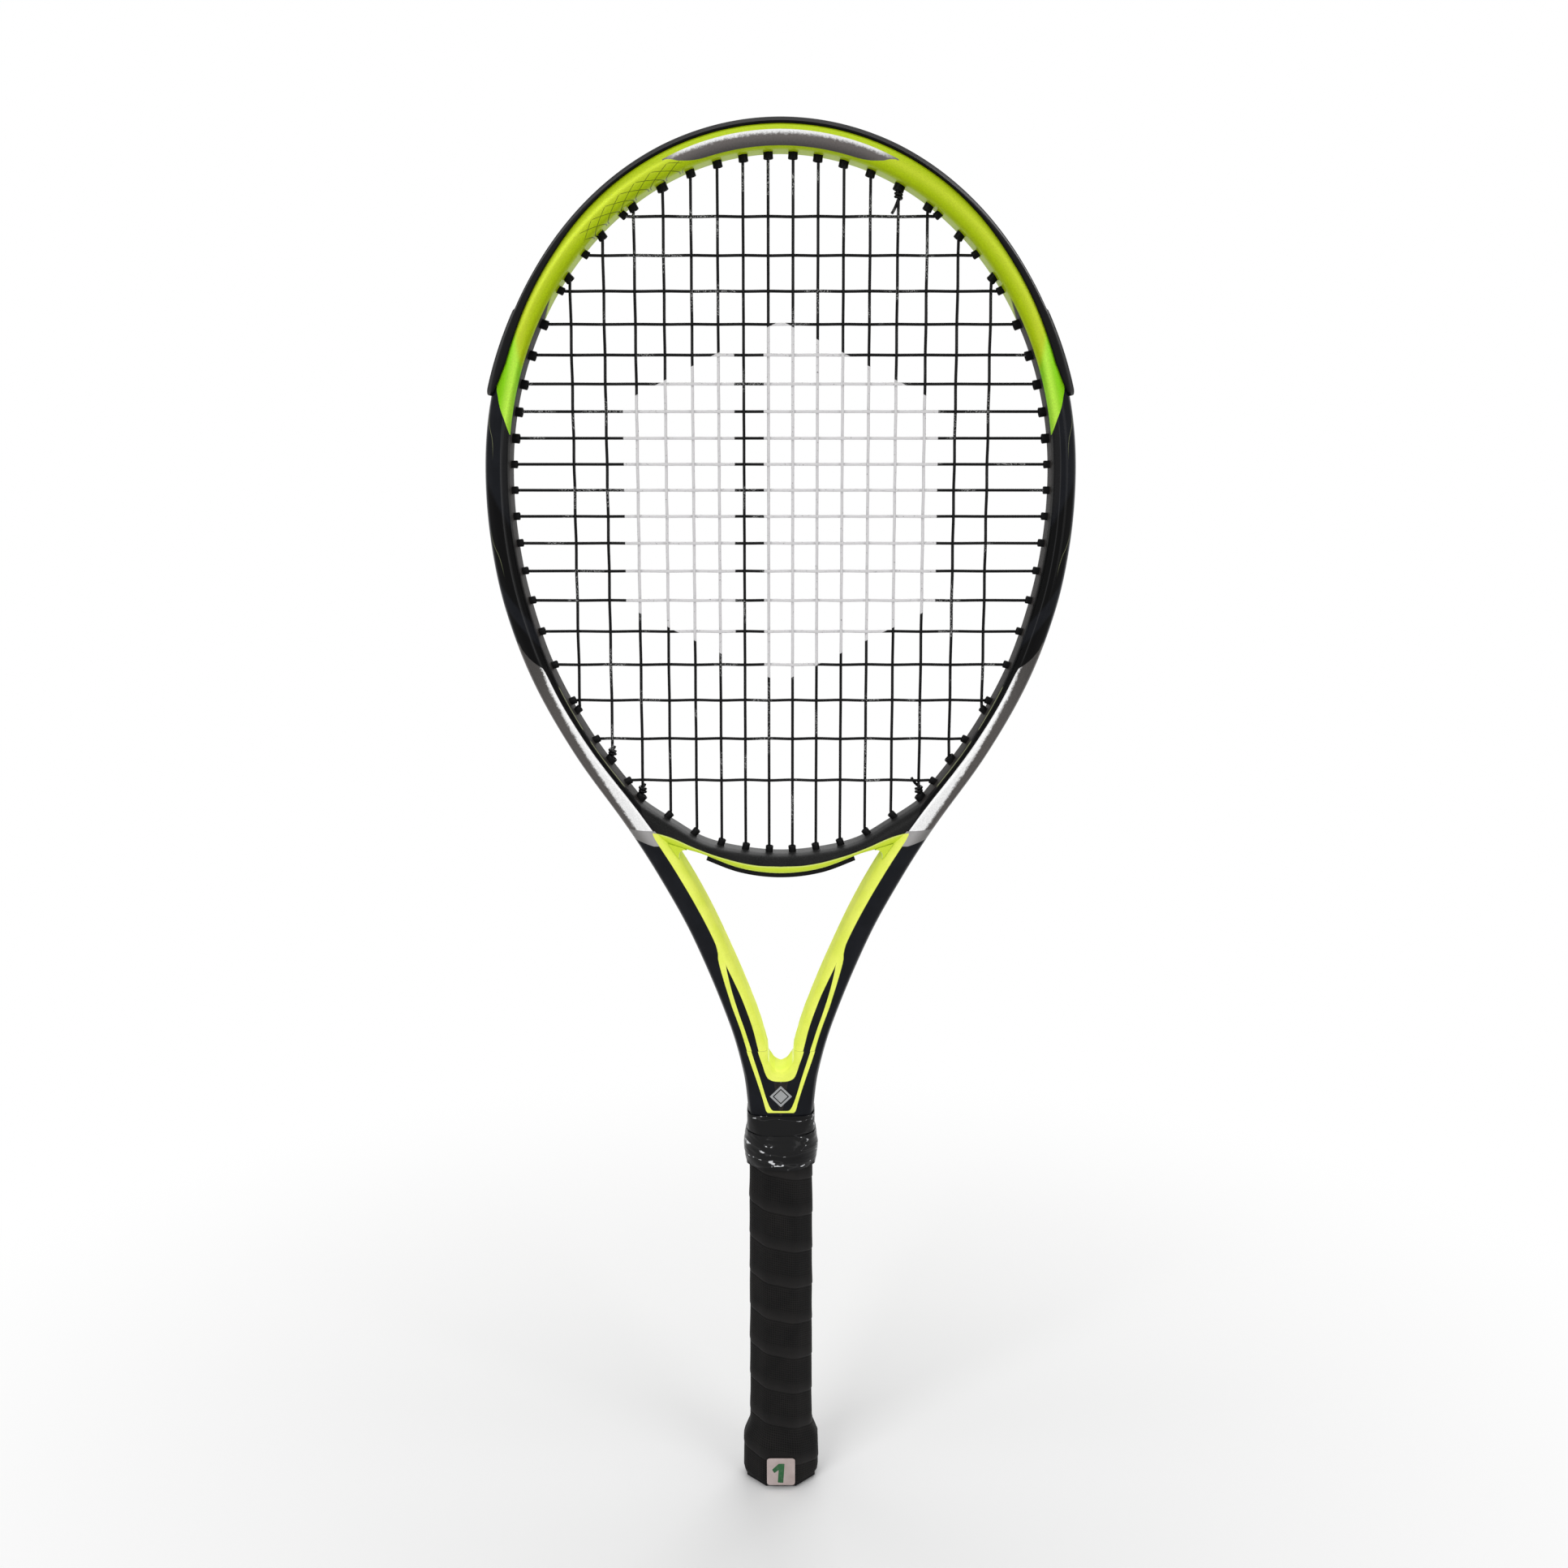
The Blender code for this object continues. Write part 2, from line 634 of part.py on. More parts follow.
def build_hairpin():
    mesh = sweep(RIM, PLACES, lambda u: rim_section(RIM, u))
    hairpin = add_part("frame_hairpin", mesh, finish("frame_paint", (0.020, 0.024, 0.040), 0.22))
    core, wide = CORE_HALF_WIDTH, CROTCH_HALF_WIDTH
    low, high = LEG_END_Z + CORE_INSET, SHAFT_END_Z + CORE_LAP
    low_core = [(-core, low), (core, low), (core, high), (-core, high)]
    boolean(hairpin, add_cutter("leg_core", plate(low_core, LEG_DEPTH - 2 * CORE_INSET)), 'UNION')
    foot = SHAFT_END_Z + CORE_INSET
    crotch = [(-wide, foot), (wide, foot)]
    for step in range(7):
        x = wide * (1 - step / 3)
        crotch.append((x, CROTCH_Z + x * x / (2 * CROTCH_RADIUS)))
    boolean(hairpin, add_cutter("crotch_core", plate(crotch, SHAFT_DEPTH - 2 * CORE_INSET)), 'UNION')
    through = [key for key in HOLES if not (key[0] == "bottom" and key[2] <= BRIDGE_MAINS)]
    boolean(hairpin, hole_cutter("rim_holes", through))
    shade(hairpin)
    return hairpin


def bridge_section(u):
    width = BRIDGE.look(BRIDGE.width, u)
    depth = BRIDGE.look(BRIDGE.depth, u)
    side = [
        (-0.50 * width, 0.18 * depth),
        (-0.40 * width, 0.40 * depth),
        (-0.12 * width, 0.50 * depth),
        (0.26 * width, 0.50 * depth),
        (0.50 * width, 0.38 * depth),
        (0.50 * width, BRIDGE_FLAT * depth),
    ]
    return [(out, -y) for out, y in side] + [(out, y) for out, y in side[::-1]]


def build_bridge():
    mesh = sweep(BRIDGE, np.linspace(0.0, BRIDGE.length, 21), bridge_section)
    bridge = add_part("throat_bridge", mesh, finish("bridge_paint", (0.045, 0.047, 0.050), 0.35))
    above, below = rim_u(HOOP_CENTRE_Z - 0.58 * BRIDGE_DROP), rim_u(HOOP_CENTRE_Z - 1.34 * BRIDGE_DROP)
    arm_places = mirrored([u for u in PLACES if above < u < below])
    for side in (-1, 1):
        arm = [u for u in arm_places if (u > TOP_U) == (side > 0)]
        cutter = sweep(RIM, arm, arm_blank)
        boolean(bridge, add_cutter("arm_seat" + str(side), cutter))
    keys = [("bottom", side, number) for side in (-1, 1) for number in range(1, SHOULDER_MAINS + 2)]
    boolean(bridge, hole_cutter("bridge_holes", keys))
    shade(bridge)
    return bridge


def arm_blank(u):
    """The arm's section grown by the clearance, with no groove"""
    return [(out, y) for out, y in rim_section(RIM, u, GAP)
            if abs(y) > GROOVE_WIDTH / 2 + GAP or out < 0]


# Grommets
def strip_section(path, u):
    bed, half = path.bed(u), STRIP_WIDTH / 2
    return [(bed - STRIP_BASE, -half), (bed - STRIP_BASE, half), (bed, half - GROOVE_TAPER),
            (bed, -half + GROOVE_TAPER)]


def add_barrels(strip, name, keys):
    """Tubes that run in from the strip's base, each with its bore"""
    tubes, bores = [], []
    for key in keys:
        hole = HOLES[key]
        root, reach = hole.outer_end - hole.axis * STRIP_BASE / 2, hole.axis * HOLE_REACH
        tubes.append((hole.inner_end, root, hole.barrel))
        bores.append((hole.inner_end - reach, hole.outer_end + reach, hole.bore))
    boolean(strip, add_cutter(name + "_tubes", rods(tubes)), 'UNION')
    boolean(strip, add_cutter(name + "_bores", rods(bores)))


def bumper_rise(u):
    z = RIM.look(RIM.point, u)[1]
    rise = np.interp(z, [BUMPER_PAD_Z, LENGTH - 0.02], [BUMPER_RISE_SIDE, BUMPER_RISE_TOP])
    return rise + (BUMPER_PAD_RISE if z < BUMPER_PAD_Z else 0.0)


def bumper_section(u, ends):
    """Channel for the string loops between two ribs, with a wing over each outer edge of the rim"""
    width, depth = RIM.look(RIM.width, u), RIM.look(RIM.depth, u)
    end = min(abs(u - ends[0]), abs(u - ends[1])) / BUMPER_FADE
    fade = sin(min(end, 1.0) * pi / 2)
    wall = width / 2 + GAP
    rise = max(bumper_rise(u) * fade, BUMPER_WALL)
    corner = 0.26 * depth
    slope = 0.10 * width / (0.12 * depth)
    wing = corner + (WING_LEAST + (WING_MOST - WING_LEAST) * fade) * depth
    drop = (wing - corner) * slope
    half = CHANNEL_WIDTH / 2
    floor = RIM.bed(u) - STRIP_BASE
    side = [
        (RIM.bed(u), half),
        (wall + rise - GAP, half + CHANNEL_DRAFT),
        (wall + rise - GAP, corner - BUMPER_ROUND),
        (wall - drop + BUMPER_WALL + GAP, wing),
        (wall - drop + GAP, wing),
        (wall + GAP / 2, corner),
        (wall, GROOVE_WIDTH / 2 - GROOVE_TAPER / 2),
        (floor, STRIP_WIDTH / 2 - GROOVE_TAPER),
    ]
    return [(out, -y) for out, y in side[::-1]] + side


def tongue_section(u):
    """The strip's section drawn in a hair, so that it joins the bumper inside its faces"""
    floor, bed = RIM.bed(u) - STRIP_BASE + TONGUE_TRIM, RIM.bed(u) - TONGUE_TRIM
    half = STRIP_WIDTH / 2 - TONGUE_TRIM
    return [(floor, -half), (floor, half), (bed, half - GROOVE_TAPER), (bed, -half + GROOVE_TAPER)]


def build_bumper():
    low, tongue = rim_u(BUMPER_END_Z), rim_u(BUMPER_TONGUE_Z)
    ends = (RIM.length - low, low)
    extra = [low - BUMPER_FADE * share for share in (0.15, 0.45)]
    right = sorted([u for u in PLACES if TOP_U - 1e-9 <= u < low - BUMPER_FADE * 0.7] + extra + [low])
    mesh = sweep(RIM, mirrored(right), lambda u: bumper_section(u, ends))
    bumper = add_part("head_bumper", mesh, finish("bumper_plastic", (0.012, 0.012, 0.013), 0.45))
    for side in (-1, 1):
        start, end = (low - TONGUE_LAP, tongue)
        if side < 0:
            start, end = RIM.length - end, RIM.length - start
        boolean(bumper, add_cutter("bumper_tongue" + str(side),
                                   sweep(RIM, places_between(start, end), tongue_section)), 'UNION')
    keys = [("top", side, number) for side in (-1, 1) for number in range(1, MAIN_HALF + 1)]
    keys += [("cross", side, number) for side in (-1, 1) for number in range(1, LAST_WIDE_CROSS + 1)]
    add_barrels(bumper, "bumper", keys)
    shade(bumper)
    return bumper


def add_strip(name, path, start, end, keys, material, section=strip_section, places=None):
    mesh = sweep(path, places or places_between(start, end), lambda u: section(path, u))
    strip = add_part(name, mesh, material)
    add_barrels(strip, name, keys)
    shade(strip)
    return strip


def build_rim_strips():
    """Side strips from the bumper to the shoulders, then a short piece for the outer throat mains"""
    plastic = finish("grommet_plastic", (0.013, 0.013, 0.014), 0.40)
    start = rim_u(BUMPER_TONGUE_Z) + GAP
    split = (HOLES["bottom", 1, SHOULDER_MAINS].u + HOLES["bottom", 1, SHOULDER_MAINS + 1].u) / 2
    end = HOLES["bottom", 1, BRIDGE_MAINS + 1].u + WIDE_BARREL
    for side, label in ((-1, "left"), (1, "right")):
        keys = [("cross", side, number) for number in range(LAST_WIDE_CROSS + 1, CROSS_COUNT + 1)]
        keys += [("bottom", side, number) for number in range(SHOULDER_MAINS + 1, MAIN_HALF + 1)]
        low, high = (start, split - GAP) if side > 0 else (RIM.length - split + GAP, RIM.length - start)
        add_strip("side_grommet_strip_" + label, RIM, low, high, keys, plastic)
        keys = [("bottom", side, number) for number in range(BRIDGE_MAINS + 1, SHOULDER_MAINS + 1)]
        low, high = (split, end) if side > 0 else (RIM.length - end, RIM.length - split)
        add_strip("shoulder_grommet_" + label, RIM, low, high, keys, plastic)


def bridge_strip_section(path, u):
    """Base under the bridge with a rail along each side of the string"""
    floor = path.bed(u) - STRIP_BASE
    half = BRIDGE_FLAT * BRIDGE_DEPTH + BRIDGE_STRIP_LAP
    inner = half - RAIL_WIDTH
    bed, rail = floor + STRIP_BASE, floor + BRIDGE_RAIL_HEIGHT
    side = [(bed, inner), (rail, inner + RAIL_DRAFT), (rail, half - RAIL_DRAFT), (floor, half)]
    return [(out, -y) for out, y in side[::-1]] + side


def build_bridge_strip():
    middle = BRIDGE.length / 2
    places = np.linspace(middle - BRIDGE_STRIP_REACH, middle + BRIDGE_STRIP_REACH, 13)
    keys = [("bottom", side, number) for side in (-1, 1) for number in range(1, BRIDGE_MAINS + 1)]
    return add_strip("bridge_grommet_strip", BRIDGE, 0.0, 0.0, keys,
                     finish("bridge_grommet_plastic", (0.013, 0.013, 0.014), 0.40),
                     section=bridge_strip_section, places=list(places))


# Strings
def main_side(column, row):
    """Which face a main passes a cross on: -1 front, 1 rear"""
    return 1 if (column + row) % 2 else -1


def columns():
    """Every main from left to right as (side, number, x)"""
    left = [(-1, number, -MAIN_X[number - 1]) for number in range(MAIN_HALF, 0, -1)]
    right = [(1, number, MAIN_X[number - 1]) for number in range(1, MAIN_HALF + 1)]
    return left + right


def run_outside(first, second, lane, first_y=None, second_y=None, last_lane=None):
    """Points of a loop along the string bed, from one hole's mouth to the next one's"""
    last_lane = lane if last_lane is None else last_lane
    path = first.path
    step = 1 if second.u > first.u else -1
    lift = STRING_DIAMETER / 2 + STRING_LIFT
    first_y = first.shift(lane) if first_y is None else first_y
    second_y = second.shift(lane) if second_y is None else second_y
    near_first, near_second = first.u + step * BEND_REACH, second.u - step * BEND_REACH
    clear_first, clear_second = first.u + step * BEND_CLEAR, second.u - step * BEND_CLEAR
    count = max(1, int(np.ceil(abs(clear_second - clear_first) / STRING_PITCH_OUTSIDE)))
    points = [first.mouth(first_y), path.place(near_first, path.bed(near_first) + lift / 2, first_y)]
    for share in np.linspace(0.0, 1.0, count + 1):
        u = clear_first + share * (clear_second - clear_first)
        points.append(path.place(u, path.bed(u) + lift, np.interp(share, [0.5, 1.0], [lane, last_lane])))
    points.append(path.place(near_second, path.bed(near_second) + lift / 2, second_y))
    points.append(second.mouth(second_y))
    return points


def knot(hole, depth_of, rise, turns):
    """Tail end wound round the main that shares its hole, from the tail's tip to the hole"""
    x, z = hole.entry[0], hole.entry[2]
    way = hole.inward[2]
    coil = []
    for i in range(int(round(turns * 8)) + 1):
        angle = 2 * pi * i / 8
        height = rise + KNOT_PITCH * i / 8
        coil.append(np.array([x + KNOT_RADIUS * sin(angle), depth_of(height) + KNOT_RADIUS * cos(angle),
                              z + way * height]))
    leave = coil[-1] - coil[-2]
    tip = coil[-1] + leave / np.linalg.norm(leave) * KNOT_TAIL
    return [tip] + coil[::-1] + [hole.lead(TIE_SHIFT)]


def lead_shift(hole):
    """Offset of a main where it enters a tie hole, beside the tail that is tied to it"""
    return -TIE_SHIFT if hole.barrel == TIE_BARREL else 0.0


def main_points(side, number, column):
    """One main from its top hole to its bottom hole, over and under the crosses"""
    x = side * MAIN_X[number - 1]
    top, bottom = HOLES["top", side, number], HOLES["bottom", side, number]
    woven = [np.array([x, main_side(column, row) * WEAVE_RISE, z]) for row, z in enumerate(CROSS_Z)
             if bottom.entry[2] < z < top.entry[2]]
    return [top.lead(lead_shift(top))] + woven + [bottom.lead(lead_shift(bottom))]


def main_depth(kind, side, number):
    """Depth y of a main near its hole, as a function of the distance from the hole"""
    hole = HOLES[kind, side, number]
    column = MAIN_HALF - number if side < 0 else MAIN_HALF + number - 1
    ahead = [((z - hole.entry[2]) * hole.inward[2], row) for row, z in enumerate(CROSS_Z)]
    distance, row = min(item for item in ahead if item[0] > 0)
    end_y = main_side(column, row) * WEAVE_RISE
    return lambda height: float(np.interp(height, [STRING_LEAD, distance], [lead_shift(hole), end_y]))


def main_route():
    """All the mains as one string, each end tied to a main that shares its hole"""
    order = columns()
    near, far = MAIN_HALF - 1, MAIN_HALF - 2
    left_end, left_tie = HOLES["bottom", -1, MAIN_HALF], HOLES["bottom", -1, near]
    right_end, right_tie = HOLES["bottom", 1, MAIN_HALF], HOLES["bottom", 1, far]
    route = knot(left_tie, main_depth("bottom", -1, near), KNOT_RISE, KNOT_TURNS)
    route += run_outside(left_end, left_tie, -LANE, second_y=TIE_SHIFT, last_lane=TIE_SHIFT)[::-1]
    for column, (side, number, x) in enumerate(order):
        upward = (number % 2 == 0) == (side < 0)
        points = main_points(side, number, column)
        route += points[::-1] if upward else points
        if column + 1 < len(order):
            kind = "top" if upward else "bottom"
            next_side, next_number, next_x = order[column + 1]
            route += run_outside(HOLES[kind, side, number], HOLES[kind, next_side, next_number], -LANE)
    route += run_outside(right_end, right_tie, TIE_LANE, -HOLE_SHIFT, TIE_SHIFT)
    return route + knot(right_tie, main_depth("bottom", 1, far), TIE_KNOT_RISE, TIE_KNOT_TURNS)[::-1]


def cross_route():
    """All the crosses as one string, from a knot at the top right to one at the lower left"""
    order = columns()
    start, end = HOLES["top", 1, SHOULDER_MAINS], HOLES["bottom", -1, MAIN_HALF - 2]
    route = knot(start, main_depth("top", 1, SHOULDER_MAINS), KNOT_RISE, KNOT_TURNS)
    route += run_outside(start, HOLES["cross", 1, 1], LANE)
    for row, z in enumerate(CROSS_Z):
        right, left = HOLES["cross", 1, row + 1], HOLES["cross", -1, row + 1]
        woven = [np.array([x, -main_side(column, row) * WEAVE_RISE, z])
                 for column, (side, number, x) in enumerate(order) if abs(x) < right.entry[0]]
        line = [left.lead()] + woven + [right.lead()]
        leftward = row % 2 == 0
        route += line[::-1] if leftward else line
        side = -1 if leftward else 1
        if row + 1 < CROSS_COUNT:
            route += run_outside(HOLES["cross", side, row + 1], HOLES["cross", side, row + 2], LANE)
    route += run_outside(HOLES["cross", -1, CROSS_COUNT], end, LANE)
    return route + knot(end, main_depth("bottom", -1, MAIN_HALF - 2), TIE_KNOT_RISE, TIE_KNOT_TURNS)[::-1]


def least_gap(route):
    """Smallest clear distance of a string to itself, measured on points every half millimetre"""
    points = np.array(route)
    along = np.concatenate([[0.0], np.cumsum(np.linalg.norm(np.diff(points, axis=0), axis=1))])
    marks = np.arange(0.0, along[-1], GAP_STEP)
    spots = np.stack([np.interp(marks, along, points[:, i]) for i in range(3)], axis=1)
    least = 1.0
    for i in range(0, len(spots), 400):
        part = spots[i:i + 400]
        apart = np.linalg.norm(part[:, None, :] - spots[None, :, :], axis=2)
        near = np.abs(marks[i:i + 400][:, None] - marks[None, :]) < 4 * STRING_DIAMETER
        least = min(least, apart[~near].min())
    return least - STRING_DIAMETER


def build_strings():
    for name, route in (("main_string", main_route()), ("cross_string", cross_route())):
        add_part(name, wire(route, STRING_DIAMETER), finish(name + "_black", (0.010, 0.010, 0.011), 0.30))
        print(name, "least gap to itself", round(least_gap(route) * 1000, 3), "mm")


# Handle
def octagon(z, width, depth, chamfer):
    """Eight corners of a handle section at height z, clockwise from above"""
    x, y, c = width / 2, depth / 2, chamfer
    return [(x, -y + c, z), (x - c, -y, z), (-x + c, -y, z), (-x, -y + c, z),
            (-x, y - c, z), (-x + c, y, z), (x - c, y, z), (x, y - c, z)]


def grown(section, by):
    """A section moved out by a distance all round"""
    width, depth, chamfer = section
    return width + 2 * by, depth + 2 * by, chamfer + 0.586 * by


PALLET = (PALLET_WIDTH, PALLET_DEPTH, PALLET_CHAMFER)
CAP = (CAP_WIDTH, CAP_DEPTH, CAP_CHAMFER)


def under_grip(z):
    """Section that the grip is wound on: the cap, then the bare handle"""
    skirt = grown(PALLET, GAP + CAP_SKIRT)
    levels = [GRIP_BOTTOM_Z, CAP_SHOULDER_Z, CAP_TOP_Z + GAP, CAP_TOP_Z + GRIP_STEP]
    sections = [CAP, CAP, skirt, PALLET]
    return tuple(float(np.interp(z, levels, [section[i] for section in sections])) for i in range(3))


def staple(side, grow=0.0):
    """Square-wire staple lying level in the cap's side, its legs pointing into the handle"""
    back = CAP_WIDTH / 2 - STAPLE_SINK
    wire_half = STAPLE_WIRE / 2 + grow
    crown = STAPLE_CROWN / 2
    tip = back - STAPLE_LEG - grow
    outline = [(tip, crown - wire_half), (back - wire_half, crown - wire_half),
               (back - wire_half, -crown + wire_half), (tip, -crown + wire_half),
               (tip, -crown - wire_half), (back + wire_half, -crown - wire_half),
               (back + wire_half, crown + wire_half), (tip, crown + wire_half)]
    return plate([(side * x, y) for x, y in outline], 2 * wire_half, STAPLE_Z, upright=False)


def build_handle():
    foam = finish("handle_foam", (0.030, 0.030, 0.032), 0.70)
    pallet = add_part("handle_pallet", loft([octagon(CAP_FLOOR + GAP, *PALLET),
                                             octagon(PALLET_TOP_Z, *PALLET)]), foam)
    leg = LEG_WIDTH + LEG_GAP / 2 + GAP
    pocket = [(-leg, LEG_END_Z - GAP), (leg, LEG_END_Z - GAP), (leg, SHAFT_END_Z), (-leg, SHAFT_END_Z)]
    boolean(pallet, add_cutter("leg_pocket", plate(pocket, LEG_DEPTH + 2 * GAP)))

    edge = grown(CAP, -CAP_EDGE)
    skirt = grown(PALLET, GAP + CAP_SKIRT)
    cap = add_part("butt_cap", loft([octagon(0.0, *edge), octagon(CAP_EDGE, *CAP),
                                     octagon(CAP_SHOULDER_Z, *CAP), octagon(CAP_TOP_Z, *skirt)]),
                   finish("cap_plastic", (0.012, 0.012, 0.013), 0.45))
    bore = grown(PALLET, GAP)
    socket = loft([octagon(CAP_FLOOR, *bore), octagon(CAP_TOP_Z + CAP_FLOOR, *bore)])
    boolean(cap, add_cutter("cap_socket", socket))

    steel = finish("staple_steel", (0.55, 0.55, 0.57), 0.30, 1.0)
    for side, label in ((-1, "left"), (1, "right")):
        add_part("butt_staple_" + label, staple(side), steel)
        cutter = add_cutter("staple_slot_" + label, staple(side, GAP))
        boolean(cap, cutter)
        boolean(pallet, cutter)


def spiral_band(bottom, top, section):
    """Outer faces of a wound grip: a band climbs one pitch a turn, its lower edge over the turn below"""
    rises = [(0.0, 0.0), (0.04, 1.0), (0.33, 0.45), (0.65, 0.15)]
    shape = bmesh.new()
    turns = int((top - bottom) / SEAM_PITCH) + 4
    made = {}

    def corner(step, level):
        if level == len(rises):
            step, level = step + 8, 0
        if (step, level) not in made:
            climb, share = rises[level]
            z = bottom + SEAM_PITCH * (step / 8 - 1.5 + climb)
            rise = SEAM_RISE * share
            if z <= bottom or z >= top:
                z, rise = min(max(z, bottom), top), 0.0
            made[step, level] = shape.verts.new(octagon(z, *grown(section(z), rise))[step % 8])
        return made[step, level]

    for step in range(8 * turns):
        for level in range(len(rises)):
            shape.faces.new((corner(step, level), corner(step, level + 1),
                             corner(step + 1, level + 1), corner(step + 1, level)))
    return shape


def build_grip():
    def inside(z):
        return grown(under_grip(z), GAP)

    def outside(z):
        return grown(under_grip(z), GAP + GRIP_THICKNESS)

    shape = spiral_band(GRIP_BOTTOM_Z, GRIP_TOP_Z, outside)
    levels = [GRIP_BOTTOM_Z, CAP_SHOULDER_Z, CAP_TOP_Z + GAP, CAP_TOP_Z + GRIP_STEP, GRIP_TOP_Z]
    rings = [octagon(GRIP_BOTTOM_Z, *outside(GRIP_BOTTOM_Z))]
    rings += [octagon(z, *inside(z)) for z in levels]
    rings += [octagon(GRIP_TOP_Z, *outside(GRIP_TOP_Z))]
    loops = [[shape.verts.new(point) for point in ring] for ring in rings]
    for low, high in zip(loops, loops[1:]):
        for i in range(8):
            j = (i + 1) % 8
            shape.faces.new((low[i], low[j], high[j], high[i]))
    bmesh.ops.remove_doubles(shape, verts=shape.verts, dist=1e-6)
    bmesh.ops.recalc_face_normals(shape, faces=shape.faces)
    mesh = bpy.data.meshes.new("grip")
    shape.to_mesh(mesh)
    shape.free()
    grip = add_part("base_grip", mesh, finish("grip_black", (0.020, 0.020, 0.021), 0.65))
    shade(grip)


def sleeve(name, outer, inner, material):
    """Tube between two lists of octagon rings, both listed from the bottom up"""
    part = add_part(name, loft(outer + inner[::-1], closed=True), material)
    shade(part)
    return part


def tape_section(z):
    """Inside of the finishing tape: round the grip, then drawn in on the shaft"""
    around_grip = grown(PALLET, GAP + GRIP_THICKNESS + SEAM_RISE + GAP)
    around_shaft = (SHAFT_WIDTH + 2 * GAP, SHAFT_DEPTH + 2 * GAP, TAPE_CHAMFER)
    levels = [GRIP_TOP_Z + GAP, SHAFT_END_Z]
    return tuple(float(np.interp(z, levels, pair)) for pair in zip(around_grip, around_shaft))


def build_tape_and_collar():
    levels = [TAPE_BOTTOM_Z, GRIP_TOP_Z + GAP, SHAFT_END_Z, TAPE_TOP_Z]
    sleeve("finishing_tape", [octagon(z, *grown(tape_section(z), TAPE_THICKNESS)) for z in levels],
           [octagon(z, *tape_section(z)) for z in levels],
           finish("tape_gloss", (0.012, 0.012, 0.013), 0.15))
    height = COLLAR_TOP_Z - COLLAR_BOTTOM_Z
    kink = GRIP_TOP_Z + GAP
    levels = [COLLAR_BOTTOM_Z, COLLAR_BOTTOM_Z + 0.2 * height, COLLAR_BOTTOM_Z + 0.4 * height, kink,
              (kink + COLLAR_TOP_Z) / 2, COLLAR_TOP_Z]
    outer, inner = [], []
    for z in levels:
        bore = grown(tape_section(z), TAPE_THICKNESS + GAP)
        bulge = COLLAR_LIP + (COLLAR_THICKNESS - COLLAR_LIP) * sin(pi * (z - COLLAR_BOTTOM_Z) / height)
        outer.append(octagon(z, *grown(bore, bulge)))
        inner.append(octagon(z, *bore))
    sleeve("grip_collar", outer, inner, finish("collar_rubber", (0.016, 0.016, 0.017), 0.55))


def build_sticker():
    half_x, half_z, corner = STICKER_WIDTH / 2, STICKER_HEIGHT / 2, STICKER_CORNER
    outline = []
    for quarter, (sx, sz) in enumerate(((1, 1), (-1, 1), (-1, -1), (1, -1))):
        for step in range(4):
            angle = pi / 2 * (quarter + step / 3)
            outline.append((sx * (half_x - corner) + corner * cos(angle),
                            STICKER_Z + sz * (half_z - corner) + corner * sin(angle)))
    face = CAP_DEPTH / 2 + GAP + GRIP_THICKNESS + SEAM_RISE + GAP
    add_part("size_sticker", plate(outline, STICKER_THICKNESS, -face - STICKER_THICKNESS / 2),
             finish("sticker_white", (0.85, 0.80, 0.80), 0.35))


build_hairpin()
build_bridge()
build_bumper()
build_rim_strips()
build_bridge_strip()
build_strings()
build_handle()
build_grip()
build_tape_and_collar()
build_sticker()
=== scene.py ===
from math import acos, atan2, cos, pi, sin, sqrt, tan

import bmesh
import bpy
import numpy as np
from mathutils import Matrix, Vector, noise


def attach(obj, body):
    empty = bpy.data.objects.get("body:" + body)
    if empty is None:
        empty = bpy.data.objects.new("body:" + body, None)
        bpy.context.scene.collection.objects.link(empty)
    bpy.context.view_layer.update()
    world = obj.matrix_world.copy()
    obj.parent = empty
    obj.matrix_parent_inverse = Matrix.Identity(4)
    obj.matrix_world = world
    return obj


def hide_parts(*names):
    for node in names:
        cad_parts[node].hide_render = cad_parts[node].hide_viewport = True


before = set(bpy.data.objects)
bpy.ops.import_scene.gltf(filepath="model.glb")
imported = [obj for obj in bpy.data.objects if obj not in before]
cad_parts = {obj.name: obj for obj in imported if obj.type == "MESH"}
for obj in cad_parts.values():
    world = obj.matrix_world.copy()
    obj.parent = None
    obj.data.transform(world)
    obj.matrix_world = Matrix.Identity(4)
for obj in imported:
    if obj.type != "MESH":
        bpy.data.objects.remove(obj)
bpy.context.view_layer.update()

# Frame: one hollow composite tube bent into the hoop, the two arms and the shaft, moulded in a
# closed tool and painted. Its ends run on as two legs inside the handle.
LENGTH = 0.690
GAP = 0.0003
GRIP_TOP_Z = 0.2754 * LENGTH
HOOP_CENTRE_Z = 0.7638 * LENGTH
HOOP_HALF_WIDTH = 0.1347
RIM_WIDTH_TOP = 0.0120
RIM_WIDTH_SIDE = 0.0118
RIM_WIDTH_SHOULDER = 0.0110
ARM_WIDTH = 0.0145
FORK_WIDTH = 0.0148
SHAFT_WIDTH = 0.0334
LEG_WIDTH = 0.0110
LEG_GAP = 0.0008
RIM_DEPTH = 0.0240
ARM_DEPTH = 0.0255
SHAFT_DEPTH = 0.0235
LEG_DEPTH = 0.0180
LEG_END_Z = 0.008
SHAFT_END_Z = GRIP_TOP_Z + 0.0150
CROTCH_Z = GRIP_TOP_Z + 0.0400
CROTCH_RADIUS = 0.0033
CROTCH_HALF_WIDTH = 0.0066
CROTCH_FILLET = 0.0028
FORK_RISE = 0.0279
THROAT_HEIGHTS = (0.240, 0.300)
GROOVE_WIDTH = 0.0072
GROOVE_DEPTH = 0.0032
SHOULDER_GROOVE_DEPTH = 0.0026
GROOVE_TAPER = 0.0002
BRIDGE_DROP = 0.2667 * LENGTH
BUMPER_RISE_TOP = 0.0025
PALLET_TOP_Z = GRIP_TOP_Z - 0.0030
STRIP_BASE = 0.0010
OUTER_SHARE = 0.492
